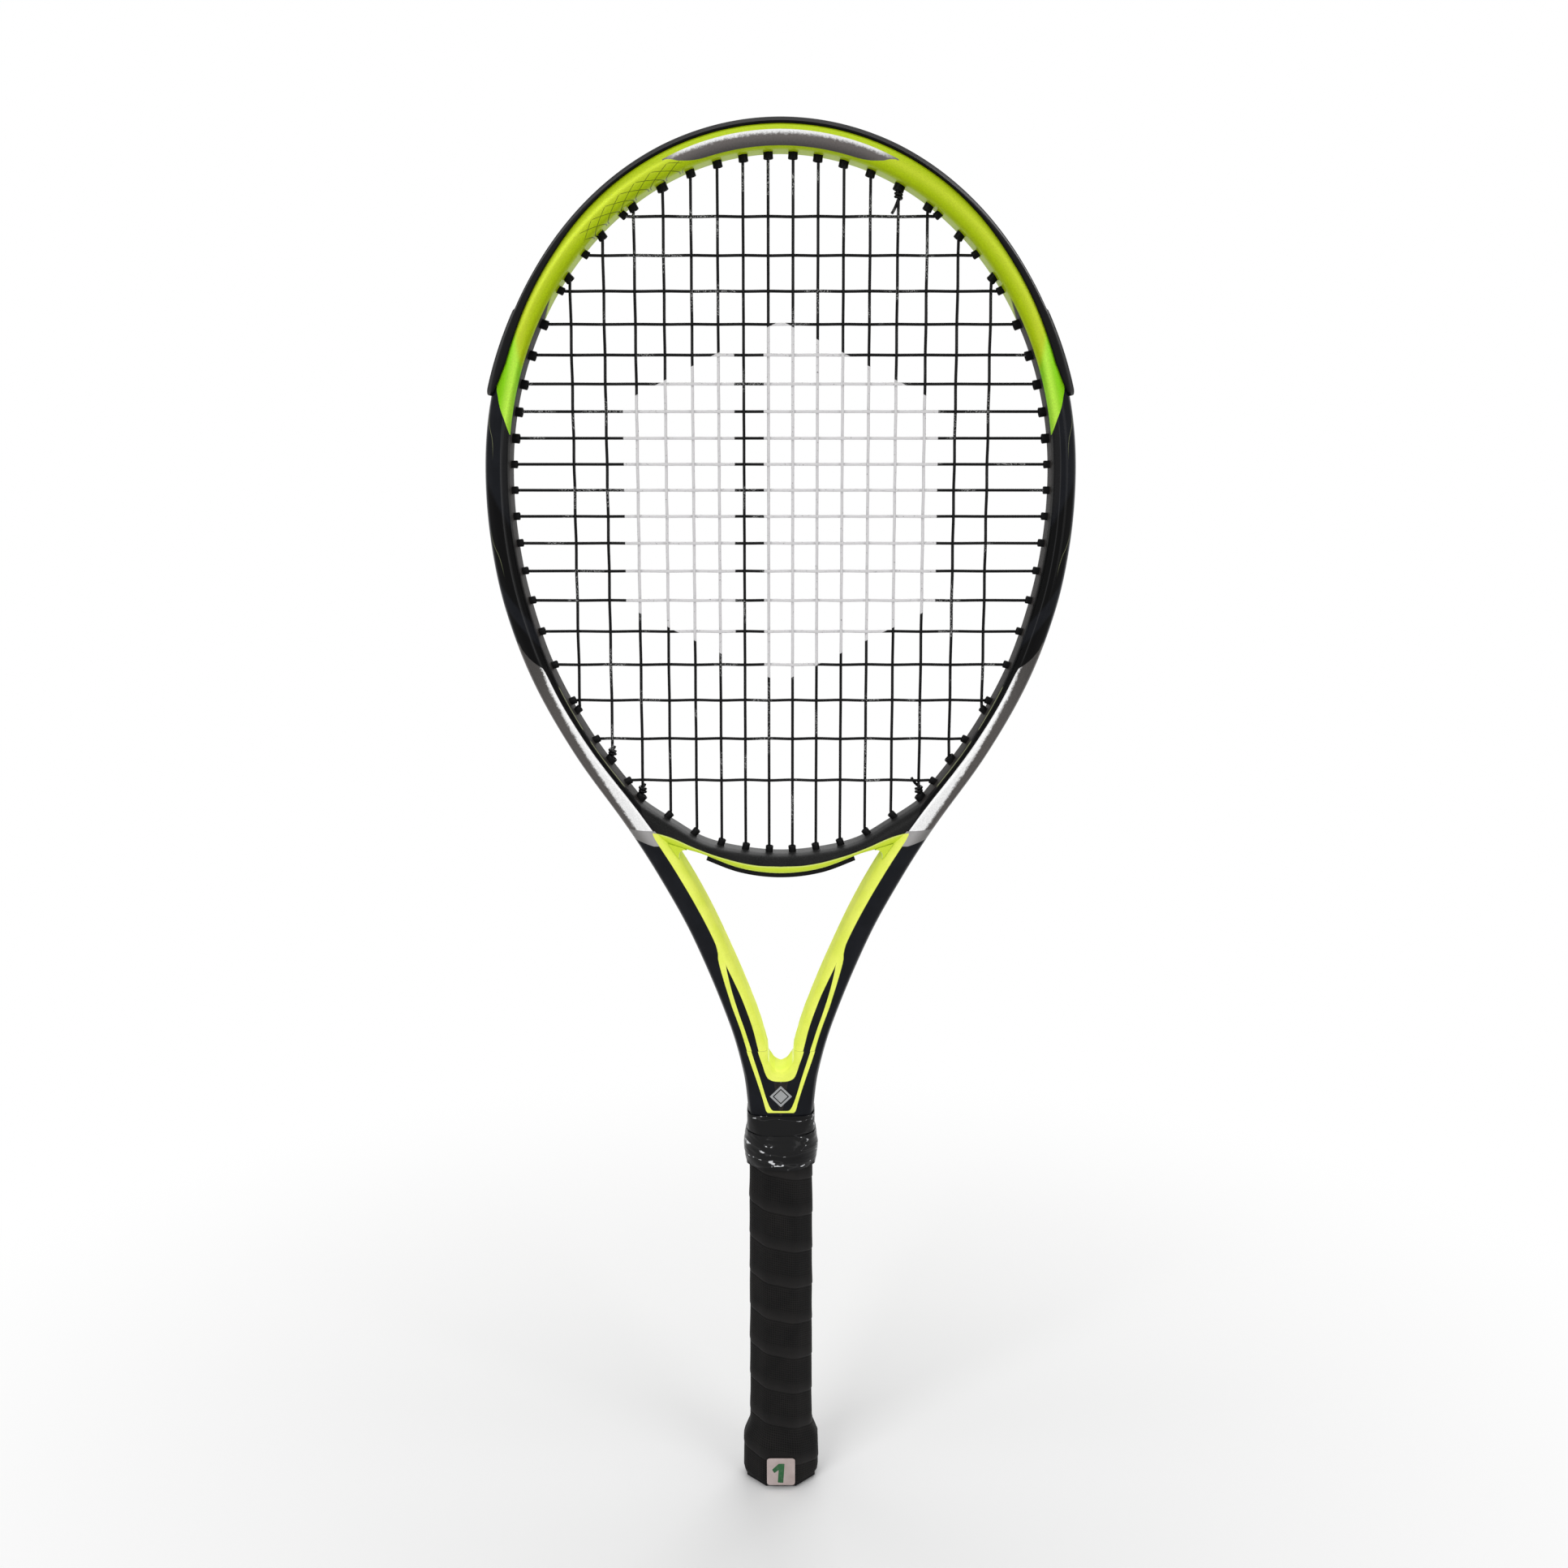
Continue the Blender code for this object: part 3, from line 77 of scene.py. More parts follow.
HOLE_REACH = (0.004, 0.060)


def smooth_through(points, steps):
    """Points of a smooth curve through the given rows, any number of values to a row"""
    rows = np.array(points, dtype=float)
    knots = np.concatenate([[0.0], np.cumsum(np.linalg.norm(np.diff(rows[:, :2], axis=0), axis=1))])
    slopes = np.empty_like(rows)
    slopes[1:-1] = (rows[2:] - rows[:-2]) / (knots[2:] - knots[:-2])[:, None]
    slopes[0] = (rows[1] - rows[0]) / (knots[1] - knots[0])
    slopes[-1] = (rows[-1] - rows[-2]) / (knots[-1] - knots[-2])
    curve = []
    for i in range(len(rows) - 1):
        span = knots[i + 1] - knots[i]
        for t in np.linspace(0.0, 1.0, steps, endpoint=False):
            start = (1 + 2 * t) * (1 - t) ** 2 * rows[i] + t * (1 - t) ** 2 * span * slopes[i]
            end = t * t * (3 - 2 * t) * rows[i + 1] - t * t * (1 - t) * span * slopes[i + 1]
            curve.append(start + end)
    curve.append(rows[-1])
    return np.array(curve)


class Tube:
    """A tube's centreline in the plane Y = 0, with its width, depth and groove at each point.

    u is the distance along it, and outward is the side that faces away from the strings.
    """

    def __init__(self, stations, steps=24):
        rows = smooth_through(stations, steps)
        self.point = rows[:, :2]
        self.width, self.depth, self.groove = rows[:, 2], rows[:, 3], rows[:, 4]
        steps_along = np.linalg.norm(np.diff(self.point, axis=0), axis=1)
        self.u = np.concatenate([[0.0], np.cumsum(steps_along)])
        tangent = np.gradient(self.point, self.u, axis=0)
        tangent /= np.linalg.norm(tangent, axis=1)[:, None]
        self.outward = np.stack([-tangent[:, 1], tangent[:, 0]], axis=1)
        self.length = self.u[-1]

    def look(self, values, u):
        if values.ndim == 1:
            return float(np.interp(u, self.u, values))
        return np.array([np.interp(u, self.u, values[:, 0]), np.interp(u, self.u, values[:, 1])])

    def normal(self, u):
        x, z = self.look(self.outward, u)
        return np.array([x, 0.0, z]) / np.hypot(x, z)

    def place(self, u, out=0.0, y=0.0):
        """World point at u, moved outward by out and along Y by y"""
        x, z = self.look(self.point, u)
        return np.array([x, 0.0, z]) + out * self.normal(u) + np.array([0.0, y, 0.0])

    def ring(self, u, outline):
        """World points of an outline of (out, y) pairs set square to the tube at u"""
        outline = np.asarray(outline)
        return self.place(u) + outline[:, :1] * self.normal(u) + outline[:, 1:] * np.array([0.0, 1.0, 0.0])

    def bed(self, u):
        """Distance out from the centreline of the surface that a string lies on"""
        return self.look(self.width, u) / 2 - self.look(self.groove, u) + GAP + STRIP_BASE

    def meet(self, start, axis):
        """Where a line from start along axis leaves through the string bed: its u and its point"""
        beds = np.array([self.place(u, self.bed(u)) for u in self.u])
        across = (beds - start) @ np.cross(axis, (0.0, 1.0, 0.0))
        along = (beds - start) @ axis
        for i in range(len(self.u) - 1):
            if across[i] * across[i + 1] <= 0 and HOLE_REACH[0] < along[i] < HOLE_REACH[1]:
                share = across[i] / (across[i] - across[i + 1])
                u = self.u[i] + share * (self.u[i + 1] - self.u[i])
                return u, beds[i] + share * (beds[i + 1] - beds[i])
        raise ValueError("a string hole never leaves the frame")


def frame_stations():
    """Half of the frame's centreline, from the tip of the head down the right side"""
    top_z = LENGTH - BUMPER_RISE_TOP - RIM_WIDTH_TOP / 2
    rows = []
    for step in range(9):
        angle = step * pi / 18
        width = RIM_WIDTH_TOP + (RIM_WIDTH_SIDE - RIM_WIDTH_TOP) * sin(angle) ** 2
        rows.append((HOOP_HALF_WIDTH * sin(angle), HOOP_CENTRE_Z + (top_z - HOOP_CENTRE_Z) * cos(angle),
                     width, RIM_DEPTH, GROOVE_DEPTH))
    arm_width = (RIM_WIDTH_SHOULDER + ARM_WIDTH) / 2
    shoulder = [
        (1.0000, 0.0000, RIM_WIDTH_SIDE, RIM_DEPTH, GROOVE_DEPTH),
        (0.9880, 0.1630, RIM_WIDTH_SIDE, RIM_DEPTH, GROOVE_DEPTH),
        (0.9460, 0.3293, RIM_WIDTH_SIDE, RIM_DEPTH, GROOVE_DEPTH),
        (0.8582, 0.5185, RIM_WIDTH_SHOULDER, RIM_DEPTH, GROOVE_DEPTH),
        (0.7149, 0.7120, RIM_WIDTH_SHOULDER, ARM_DEPTH, SHOULDER_GROOVE_DEPTH),
        (0.5256, 0.9060, arm_width, ARM_DEPTH, SHOULDER_GROOVE_DEPTH),
        (0.4046, 1.0418, ARM_WIDTH, ARM_DEPTH, SHOULDER_GROOVE_DEPTH),
        (0.2806, 1.2147, ARM_WIDTH, ARM_DEPTH, 0.0),
    ]
    rows += [(HOOP_HALF_WIDTH * x, HOOP_CENTRE_Z - BRIDGE_DROP * z, width, depth, groove)
             for x, z, width, depth, groove in shoulder]
    shaft_x = (SHAFT_WIDTH + LEG_GAP) / 4
    shaft_leg = (SHAFT_WIDTH - LEG_GAP) / 2
    leg_x = (LEG_WIDTH + LEG_GAP) / 2
    leg_top = PALLET_TOP_Z + 0.0020
    rows += [
        (0.584 * SHAFT_WIDTH, CROTCH_Z + FORK_RISE, FORK_WIDTH, (ARM_DEPTH + SHAFT_DEPTH) / 2, 0.0),
        (0.359 * SHAFT_WIDTH, CROTCH_Z, FORK_WIDTH, SHAFT_DEPTH, 0.0),
        (shaft_x, SHAFT_END_Z + 0.0030, shaft_leg, SHAFT_DEPTH, 0.0),
        (shaft_x, SHAFT_END_Z, shaft_leg, SHAFT_DEPTH, 0.0),
        (leg_x, leg_top, LEG_WIDTH, LEG_DEPTH, 0.0),
        (leg_x, leg_top - 0.0060, LEG_WIDTH, LEG_DEPTH, 0.0),
        (leg_x, LEG_END_Z, LEG_WIDTH, LEG_DEPTH, 0.0),
    ]
    return rows


def both_halves(right):
    left = [(-x, z, width, depth, groove) for x, z, width, depth, groove in right[1:]]
    return left[::-1] + right


RIM = Tube(both_halves(frame_stations()))
TOP_U = RIM.length / 2
RIGHT = RIM.u >= TOP_U


def rim_u(z):
    """Distance along the right half of the frame where its centreline is at height z"""
    return float(np.interp(-z, -RIM.point[RIGHT, 1], RIM.u[RIGHT]))


def mirrored(places):
    """The same places on the left half, then these on the right half"""
    return [RIM.length - u for u in places[::-1] if u > TOP_U + 1e-9] + list(places)


def rounded(corners, reaches, pieces=5):
    """Closed outline whose corners are curves that start and end their reach away from each corner"""
    corners = np.array(corners)
    outline = []
    for i, reach in enumerate(reaches):
        ends = []
        for other in (corners[i - 1], corners[(i + 1) % len(corners)]):
            side = other - corners[i]
            ends.append(corners[i] + side * min(0.48, reach / max(np.linalg.norm(side), 1e-9)))
        for t in np.linspace(0.0, 1.0, pieces + 1):
            outline.append((1 - t) ** 2 * ends[0] + 2 * t * (1 - t) * corners[i] + t * t * ends[1])
    return np.array(outline)


def both_faces(side, reaches, pieces=5):
    """A tube's outline from its front half and the reach of each corner's curve there"""
    outline = [(out, -y) for out, y in side] + [(out, y) for out, y in side[::-1]]
    return rounded(outline, reaches + reaches[::-1], pieces)


def frame_outline(u):
    """Section of the tube: flat inner wall, creased faces and a grooved outer wall"""
    width, depth = RIM.look(RIM.width, u), RIM.look(RIM.depth, u)
    groove, lip = RIM.look(RIM.groove, u), GROOVE_WIDTH / 2
    z = RIM.look(RIM.point, u)[1]
    down = abs(u - TOP_U)
    crease = float(np.interp(down, [0.18, 0.22, 0.32, 0.40], [-0.34, -0.23, -0.22, -0.30]))
    throat = float(np.interp(z, [CROTCH_Z + 0.008, CROTCH_Z + 0.060], [1.0, 0.0]))
    hoop = np.array([(-0.50, 0.34), (crease, 0.475), (0.05, 0.50), (0.40, 0.38), (OUTER_SHARE, 0.26)])
    shaft = np.array([(-0.50, 0.50), (-0.36, 0.50), (0.02, 0.50), (0.40, 0.43), (OUTER_SHARE, 0.26)])
    face = (1 - throat) * hoop + throat * shaft
    side = [(out * width, y * depth) for out, y in face]
    side += [(OUTER_SHARE * width, lip), (OUTER_SHARE * width - groove, lip - GROOVE_TAPER)]
    reaches = [0.0020 * (1 - throat), 0.0018, 0.0040, 0.0014, 0.0016, 0.0003, 0.0003]
    return both_faces(side, reaches)


def crotch_line():
    """The opening's edge round the bottom of the throat, from its lowest point up the right arm"""
    arch = [(x, CROTCH_Z + x * x / (2 * CROTCH_RADIUS)) for x in np.linspace(0.0, CROTCH_HALF_WIDTH, 24)]
    arm = [RIM.place(rim_u(z), -RIM.look(RIM.width, rim_u(z)) / 2) for z in np.linspace(*THROAT_HEIGHTS, 40)]
    return np.array(arch + [(x, z) for x, y, z in arm if z > arch[-1][1] + 0.001])


CROTCH_LINE = crotch_line()
THROAT_START = rim_u(0.285)
ARCH_START, ARCH_END = rim_u(CROTCH_Z + 0.0085), rim_u(CROTCH_Z - 0.0015)


def inner_edge(u):
    """Where the tube's inner wall stands: along the arm, round the crotch, then on the middle line"""
    if u <= ARCH_START:
        return RIM.place(u, -RIM.look(RIM.width, u) / 2)
    if u < ARCH_END:
        x = CROTCH_HALF_WIDTH * (1 - (u - ARCH_START) / (ARCH_END - ARCH_START))
        return np.array([x, 0.0, CROTCH_Z + x * x / (2 * CROTCH_RADIUS)])
    return np.array([0.0, 0.0, CROTCH_Z + RIM.look(RIM.point, u)[1] - RIM.look(RIM.point, ARCH_END)[1]])


def throat_ring(u):
    """The section drawn between the inner edge and the outer wall, eased down round the opening"""
    outline = frame_outline(u)
    half = RIM.look(RIM.width, u) / 2
    inner, outer = inner_edge(u), RIM.place(u, half)
    shares = (outline[:, 0] / half + 1) / 2
    points = inner + shares[:, None] * (outer - inner)
    apart = np.linalg.norm(points[:, None, ::2] - CROTCH_LINE[None], axis=2).min(axis=1)
    near = np.clip(CROTCH_FILLET - apart, 0.0, CROTCH_FILLET)
    ease = CROTCH_FILLET - np.sqrt(CROTCH_FILLET ** 2 - near ** 2)
    throat = float(np.interp(u, [THROAT_START, ARCH_START], [0.0, 1.0]))
    face = np.abs(outline[:, 1])
    points[:, 1] = np.sign(outline[:, 1]) * (face - throat * ease * (face > 0.3 * SHAFT_DEPTH))
    return points


def tube_places(points):
    """(distance from the head's tip, share across, share of the depth) of points on the frame"""
    line, out = RIM.point[RIGHT], RIM.outward[RIGHT]
    flat = np.stack([np.abs(points[:, 0]), points[:, 2]], axis=1)
    marks = []
    batch = 4000
    for start in range(0, len(flat), batch):
        part = flat[start:start + batch]
        nearest = ((part[:, None] - line[None]) ** 2).sum(axis=2).argmin(axis=1)
        offset = part - line[nearest]
        side = out[nearest]
        ahead = offset[:, 0] * side[:, 1] - offset[:, 1] * side[:, 0]
        width, depth = RIM.width[RIGHT][nearest], RIM.depth[RIGHT][nearest]
        marks.append(np.stack([RIM.u[RIGHT][nearest] - TOP_U + ahead, (offset * side).sum(axis=1) / width,
                               points[start:start + batch, 1] / depth], axis=1))
    return np.concatenate(marks)


def finished(name, shape, angle=0.7):
    """The mesh of a shape, its soft edges smooth"""
    mesh = bpy.data.meshes.new(name)
    shape.to_mesh(mesh)
    shape.free()
    mesh.shade_smooth()
    mesh.set_sharp_from_angle(angle=angle)
    return mesh


def closed(name, shape, angle=0.7, weld=0.0):
    """The mesh of a closed shape, its normals outward"""
    if weld:
        bmesh.ops.remove_doubles(shape, verts=shape.verts, dist=weld)
    bmesh.ops.recalc_face_normals(shape, faces=shape.faces)
    return finished(name, shape, angle)


def walls(shape, rings, loop=False):
    """Adds faces between rings of points and gives the rings' vertices"""
    loops = [[shape.verts.new(point) for point in ring] for ring in rings]
    for low, high in zip(loops, loops[1:] + loops[:1] * loop):
        for i in range(len(low)):
            j = (i + 1) % len(low)
            shape.faces.new((low[i], low[j], high[j], high[i]))
    return loops


def skin(name, rings, loop=False):
    """Closed mesh through rings of points"""
    shape = bmesh.new()
    loops = walls(shape, rings, loop)
    if not loop:
        shape.faces.new(loops[0])
        shape.faces.new(loops[-1])
    return closed(name, shape)


def run_along(name, path, outline, places):
    """Closed mesh of an outline that runs along a tube"""
    return skin(name, [path.ring(u, outline(u)) for u in places])


def joined(name, *meshes):
    """One mesh of several"""
    shape = bmesh.new()
    for mesh in meshes:
        shape.from_mesh(mesh)
    return finished(name, shape, 0.9)


def placed(name, data):
    made = bpy.data.objects.new(name, data)
    bpy.context.scene.collection.objects.link(made)
    return made


def piece(name, mesh, material, slot, *nodes):
    """Puts a finished mesh in the scene in place of its CAD nodes"""
    made = placed(name, mesh)
    mesh.materials.clear()
    mesh.materials.append(material)
    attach(made, "root")
    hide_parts(*nodes)


def feed(socket, value):
    """Wires a value into a socket, or sets a plain one on it"""
    if isinstance(value, Signal):
        socket.id_data.links.new(value.socket, socket)
    elif isinstance(value, tuple) and len(value) == 3 and socket.type == 'RGBA':
        socket.default_value = (*value, 1.0)
    else:
        socket.default_value = value


def add(tree, kind, inputs=None, output=0, **settings):
    """A new node with its inputs fed, as the value that it gives"""
    node = tree.nodes.new(kind)
    for name, value in settings.items():
        setattr(node, name, value)
    for name, value in (inputs or {}).items():
        feed(node.inputs[name], value)
    return Signal(node.outputs[output])


class Signal:
    """A value on its way through a node tree. What is done with it adds the nodes."""

    def __init__(self, socket):
        self.socket = socket

    def add(self, kind, inputs, output=0, **settings):
        return add(self.socket.id_data, kind, inputs, output, **settings)

    def math(self, operation, *values):
        return self.add("ShaderNodeMath", dict(enumerate(values or (self,))), operation=operation)

    def __add__(self, other):
        return self.math('ADD', self, other)

    def __sub__(self, other):
        return self.math('SUBTRACT', self, other)

    def __rsub__(self, other):
        return self.math('SUBTRACT', other, self)

    def __mul__(self, other):
        return self.math('MULTIPLY', self, other)

    def __truediv__(self, other):
        return self.math('DIVIDE', self, other)

    def __abs__(self):
        return self.math('ABSOLUTE')

    def __and__(self, other):
        return self * other

    def __or__(self, other):
        return self.math('MAXIMUM', self, other)

    def __invert__(self):
        return 1.0 - self

    def within(self, low, high):
        """0 below low, 1 above high, smooth between"""
        return self.add("ShaderNodeMapRange", {"Value": self, "From Min": low, "From Max": high},
                        interpolation_type='SMOOTHSTEP')

    def blend(self, below, above):
        """Mix of two colours, or of two numbers, by this share"""
        kinds = [end.socket.type for end in (below, above) if isinstance(end, Signal)]
        colour = tuple in (type(below), type(above)) or 'RGBA' in kinds or 'VECTOR' in kinds
        # The node has a pair of sockets for numbers and another pair for colours
        first, output, kind = (6, 2, 'RGBA') if colour else (2, 0, 'FLOAT')
        return self.add("ShaderNodeMix", {0: self, first: below, first + 1: above}, output, data_type=kind)

    def line(self, rows, reach, low=0.0, high=1.0):
        """Smooth curve through (distance, value) rows, read at this distance"""
        drawn = self.add("ShaderNodeFloatCurve", {"Value": self / reach})
        mapping = drawn.socket.node.mapping
        points = mapping.curves[0].points
        spots = [(min(max(x / reach, 0.0), 1.0), (y - low) / (high - low)) for x, y in rows]
        points[0].location, points[1].location = spots[0], spots[-1]
        for spot in spots[1:-1]:
            points.new(*spot)
        for point in points:
            point.handle_type = 'AUTO_CLAMPED'
        mapping.update()
        return drawn * (high - low) + low

    def noise(self, scale, detail=2.0, rough=0.5):
        return self.add("ShaderNodeTexNoise", {"Vector": self, "Scale": scale, "Detail": detail,
                                               "Roughness": rough}, "Fac")

    def scaled(self, factor):
        return self.add("ShaderNodeVectorMath", {"Vector": self, "Scale": factor}, operation='SCALE')

    def siblings(self):
        """Everything that this value's node gives"""
        return [Signal(socket) for socket in self.socket.node.outputs]

    def parts(self):
        return self.add("ShaderNodeSeparateXYZ", {"Vector": self}).siblings()

    def bump(self, strength, distance):
        return self.add("ShaderNodeBump", {"Height": self, "Strength": strength, "Distance": distance})


def coat(material, **values):
    """Wires values into the material's shader, or sets plain ones on it"""
    shader = material.node_tree.nodes["Principled BSDF"]
    for label, value in values.items():
        feed(shader.inputs[label.replace("_", " ")], value)
    return material


def finish(name, **settings):
    """A new material, and the object coordinates inside it"""
    material = bpy.data.materials.new(name)
    material.use_nodes = True
    coat(material, **settings)
    return material, add(material.node_tree, "ShaderNodeTexCoord", output="Object")


def attribute(material, name, output):
    return add(material.node_tree, "ShaderNodeAttribute", output=output, attribute_name=name)


def effect(name, inputs, outputs, kind='ShaderNodeTree'):
    """A node group, the values it is given by name, and the sockets of what it gives"""
    group = bpy.data.node_groups.new(name, kind)
    for label, sort in inputs.items():
        group.interface.new_socket(label, in_out='INPUT', socket_type='NodeSocket' + sort)
    for label, sort in outputs.items():
        group.interface.new_socket(label, in_out='OUTPUT', socket_type='NodeSocket' + sort)
    given = group.nodes.new("NodeGroupInput").outputs
    made = group.nodes.new("NodeGroupOutput").inputs
    return group, {label: Signal(given[label]) for label in inputs}, made


def through(group, where, **values):
    """What a shader group gives for these inputs"""
    inputs = {label.replace("_", " "): value for label, value in values.items()}
    return where.add("ShaderNodeGroup", {"Where": where, **inputs}, node_tree=group).siblings()


SURFACE = {"Colour": 'Color', "Roughness": 'Float', "Height": 'Float'}


def handled_surface():
    """Wear that every hard surface shows: fine scuffs, faint dust and a grain in the gloss"""
    group, given, made = effect("handled_surface", {
        "Where": 'Vector', "Colour": 'Color', "Roughness": 'Float', "Grain Scale": 'Float', "Grain": 'Float',
        "Wear": 'Float'}, SURFACE)
    where = given["Where"]
    shade = (where.noise(given["Grain Scale"], 3.0) - 0.5) * given["Grain"]
    worn = where.noise(260.0, 6.0, 0.8).within(0.62, 0.78) * given["Wear"]
    feed(made["Colour"], (worn * 0.35).blend(given["Colour"].scaled(shade * 4.0 + 1.0), (0.30, 0.30, 0.30)))
    feed(made["Roughness"], (where.noise(35.0, 4.0) - 0.5) * 0.12 + (given["Roughness"] + worn * 0.6))
    feed(made["Height"], shade + worn * -0.2)
    return group


HANDLED = handled_surface()


def handled(where, colour, roughness, grain, wear, grain_scale=900.0):
    """Colour, roughness and height of a surface that has been handled"""
    return through(HANDLED, where, Colour=colour, Roughness=roughness, Grain=grain, Wear=wear,
                   Grain_Scale=grain_scale)


def throat_line():
    """Shader group: the slanting line where the throat's yellow ends on arms and bridge"""
    group, given, made = effect("throat_line", {"Where": 'Vector'}, {"Below": 'Float', "Above": 'Float'})
    x, y, z = given["Where"].parts()
    rows = [(0, 0.3379), (0.012, 0.3385), (0.0289, 0.3424), (0.042, 0.3472), (0.0528, 0.3521),
            (0.0575, 0.3538), (0.0628, 0.3550), (0.080, 0.3580)]
    above = z - abs(x).line(rows, 0.080, 0.320, 0.380)
    feed(made["Below"], above.within(0.0002, -0.0002))
    feed(made["Above"], above)
    return group


THROAT_LINE = throat_line()


def frame_paint():
    """Metallic lime over the head, near-black sides, silver shoulders and a yellow throat.

    Places down the frame are in millimetres from the tip, places across it in shares of its width.
    """
    material, where = finish("frame_paint", Coat_Roughness=0.06, Coat_IOR=1.3, Specular_IOR_Level=0.05)
    x, y, z = where.parts()
    place = attribute(material, "tube_place", "Vector").parts()
    down, out = place[0] * 1000.0, place[1]
    rough_grain = where.noise(620.0, 5.0, 0.9)
    mottle = where.noise(90.0, 4.0)

    def edge(*rows):
        return down.line(rows, 600.0, -0.8, 0.8)

    def inward_of(line, soft=0.012):
        return (line - out).within(-soft, soft)

    def outward_of(line, soft=0.012):
        return (out - line).within(-soft, soft)

    def stretch(start, end, soft=0.15):
        return down.within(start - soft, start + soft) & down.within(end + soft, end - soft)

    def bar(line, half, soft=0.012):
        """Thin line of paint along an edge"""
        return abs(out - line).within(half + soft, half - soft)

    wall = out.within(-0.478, -0.492)
    lean = out * 27.0 + down
    panel = (lean.within(236, 242) & lean.within(289, 285)) | lean.within(297, 301)
    charcoal = wall & (y * -700.0 + down).within(142, 146)
    dusty = rough_grain.within(0.35, 0.7).blend((0.017, 0.015, 0.0145), (0.034, 0.030, 0.028))
    crease = edge((0, -0.17), (200, -0.18), (231, -0.20), (263, -0.19), (289, -0.19), (308, -0.20),
                  (600, -0.2))
    high_pin = edge((0, 0.36), (196, 0.42), (204, 0.34), (216, 0.12), (600, 0.1))
    low_pin = edge((0, 0.36), (250, 0.38), (258, 0.33), (271, 0.12), (600, 0.1))
    pins = ((bar(high_pin, 0.006) & stretch(198, 215, 5)) | (bar(low_pin, 0.006) & stretch(254, 270, 5))
            | (bar(-0.47, 0.010, 0.010) & (stretch(333, 357, 1) | stretch(364, 392, 1))))
    colour = mottle.within(0.35, 0.7).blend((0.0070, 0.0078, 0.0102), (0.0098, 0.0108, 0.0140))
    for mask, tone in (
            (panel & down.within(345, 335) & inward_of(0.36, 0.02), (0.0018, 0.0018, 0.0020)),
            (inward_of(-0.20, 0.02) & lean.within(240, 225), (0.0130, 0.0130, 0.0140)),
            (down.within(318, 324) & down.within(425, 400) & inward_of(-0.2), (0.0040, 0.0040, 0.0042)),
            (charcoal, dusty),
            (outward_of(0.38, 0.02) & stretch(186, 312, 6) & 0.8, (0.018, 0.0195, 0.025)),
            # Painted highlights: a thin light line along the side's crease and a fainter one near the inner
            # wall, where the faces bend.
            (bar(crease, 0.010, 0.030) & stretch(196, 318, 6) & 0.40, (0.085, 0.085, 0.088)),
            (bar(-0.46, 0.006, 0.020) & stretch(204, 262, 10) & 0.5, (0.12, 0.12, 0.11)),
            (pins & 0.75, (0.34, 0.36, 0.20))):
        colour = mask.blend(colour, tone)

    lime_edge = edge((0, 0.70), (104, 0.62), (120, 0.42), (170, 0.34), (180, 0.34), (184, 0.31), (190, 0.15),
                     (195, -0.02), (200, -0.24), (207, -0.49), (212, -0.70), (600, -0.70))
    lime = inward_of(lime_edge) & ~charcoal
    turn = out * 22.0 + down
    # Painted highlight: the lime and the green are painted lighter along a band, down the middle on the lime
    # and towards the inner side on the green.
    painted_highlight = abs(out - turn.within(140, 185).blend(0.02, -0.26)).within(0.34, 0.0)
    lime_tone = painted_highlight.blend((0.370, 0.500, 0.0040), (0.500, 0.610, 0.030))
    green_tone = painted_highlight.blend((0.205, 0.540, 0.0040), (0.480, 0.83, 0.070))
    lime_tone = turn.within(160, 167).blend(lime_tone, green_tone)
    tilt, pitch = out * 3.28, down / 8.7
    first, second = (pitch + (tilt + 0.02)), (pitch - (tilt + 0.42))
    hatch = first.math('PINGPONG', first, 0.5).within(0.052, 0.030)
    hatch |= second.math('PINGPONG', second, 0.5).within(0.052, 0.030)
    hatch &= stretch(48, 106, 2) & inward_of(-0.08, 0.02) & x.within(0.0, -0.001) & y.within(0.0, -0.001)
    colour = lime.blend(colour, (hatch & 0.85).blend(lime_tone, (0.070, 0.095, 0.008)))

    crescent = inward_of(edge((0, 0.185), (20, 0.18), (40, 0.17), (55, 0.15), (600, 0.1)))
    crescent &= outward_of(edge((0, -0.40), (20, -0.40), (36, -0.395), (41, -0.36), (46, -0.25), (51, -0.07),
                                (55, 0.10), (600, 0.2))) & down.within(55.6, 55.0)
    # Silver crescent with painted light: grey that grows lighter outward, then a white painted highlight
    # along its outer edge, its border broken by grain.
    dithered_share = (rough_grain - 0.5) * 0.35 + out
    painted_silver_gradient = out.within(-0.4, -0.02).blend((0.072, 0.066, 0.064), (0.135, 0.122, 0.118))
    fade = dithered_share.within(-0.03, 0.12) & down.within(56, 44)
    colour = crescent.blend(colour, fade.blend(painted_silver_gradient, (0.80, 0.80, 0.80)))

    arm_inner = edge((0, 0.34), (306, 0.34), (311, 0.26), (315, 0.11), (319, -0.10), (322, -0.235),
                     (327, -0.26), (340, -0.265), (361, -0.295), (380, -0.31), (400, -0.31), (420, -0.30),
                     (600, -0.3))
    end_line = out * 10.5 + down
    arm = outward_of(arm_inner) & end_line.within(415.0, 414.2) & down.within(305, 307)
    split = edge((0, -0.1), (322, -0.17), (330, -0.12), (345, -0.09), (360, -0.05), (380, 0.02), (400, 0.13),
                 (414, 0.17), (600, 0.2))
    arm_grey = down.within(310, 350).blend((0.070, 0.066, 0.063), (0.098, 0.090, 0.086))
    arm_grey = outward_of(0.38, 0.03).blend(arm_grey, (0.125, 0.113, 0.108))
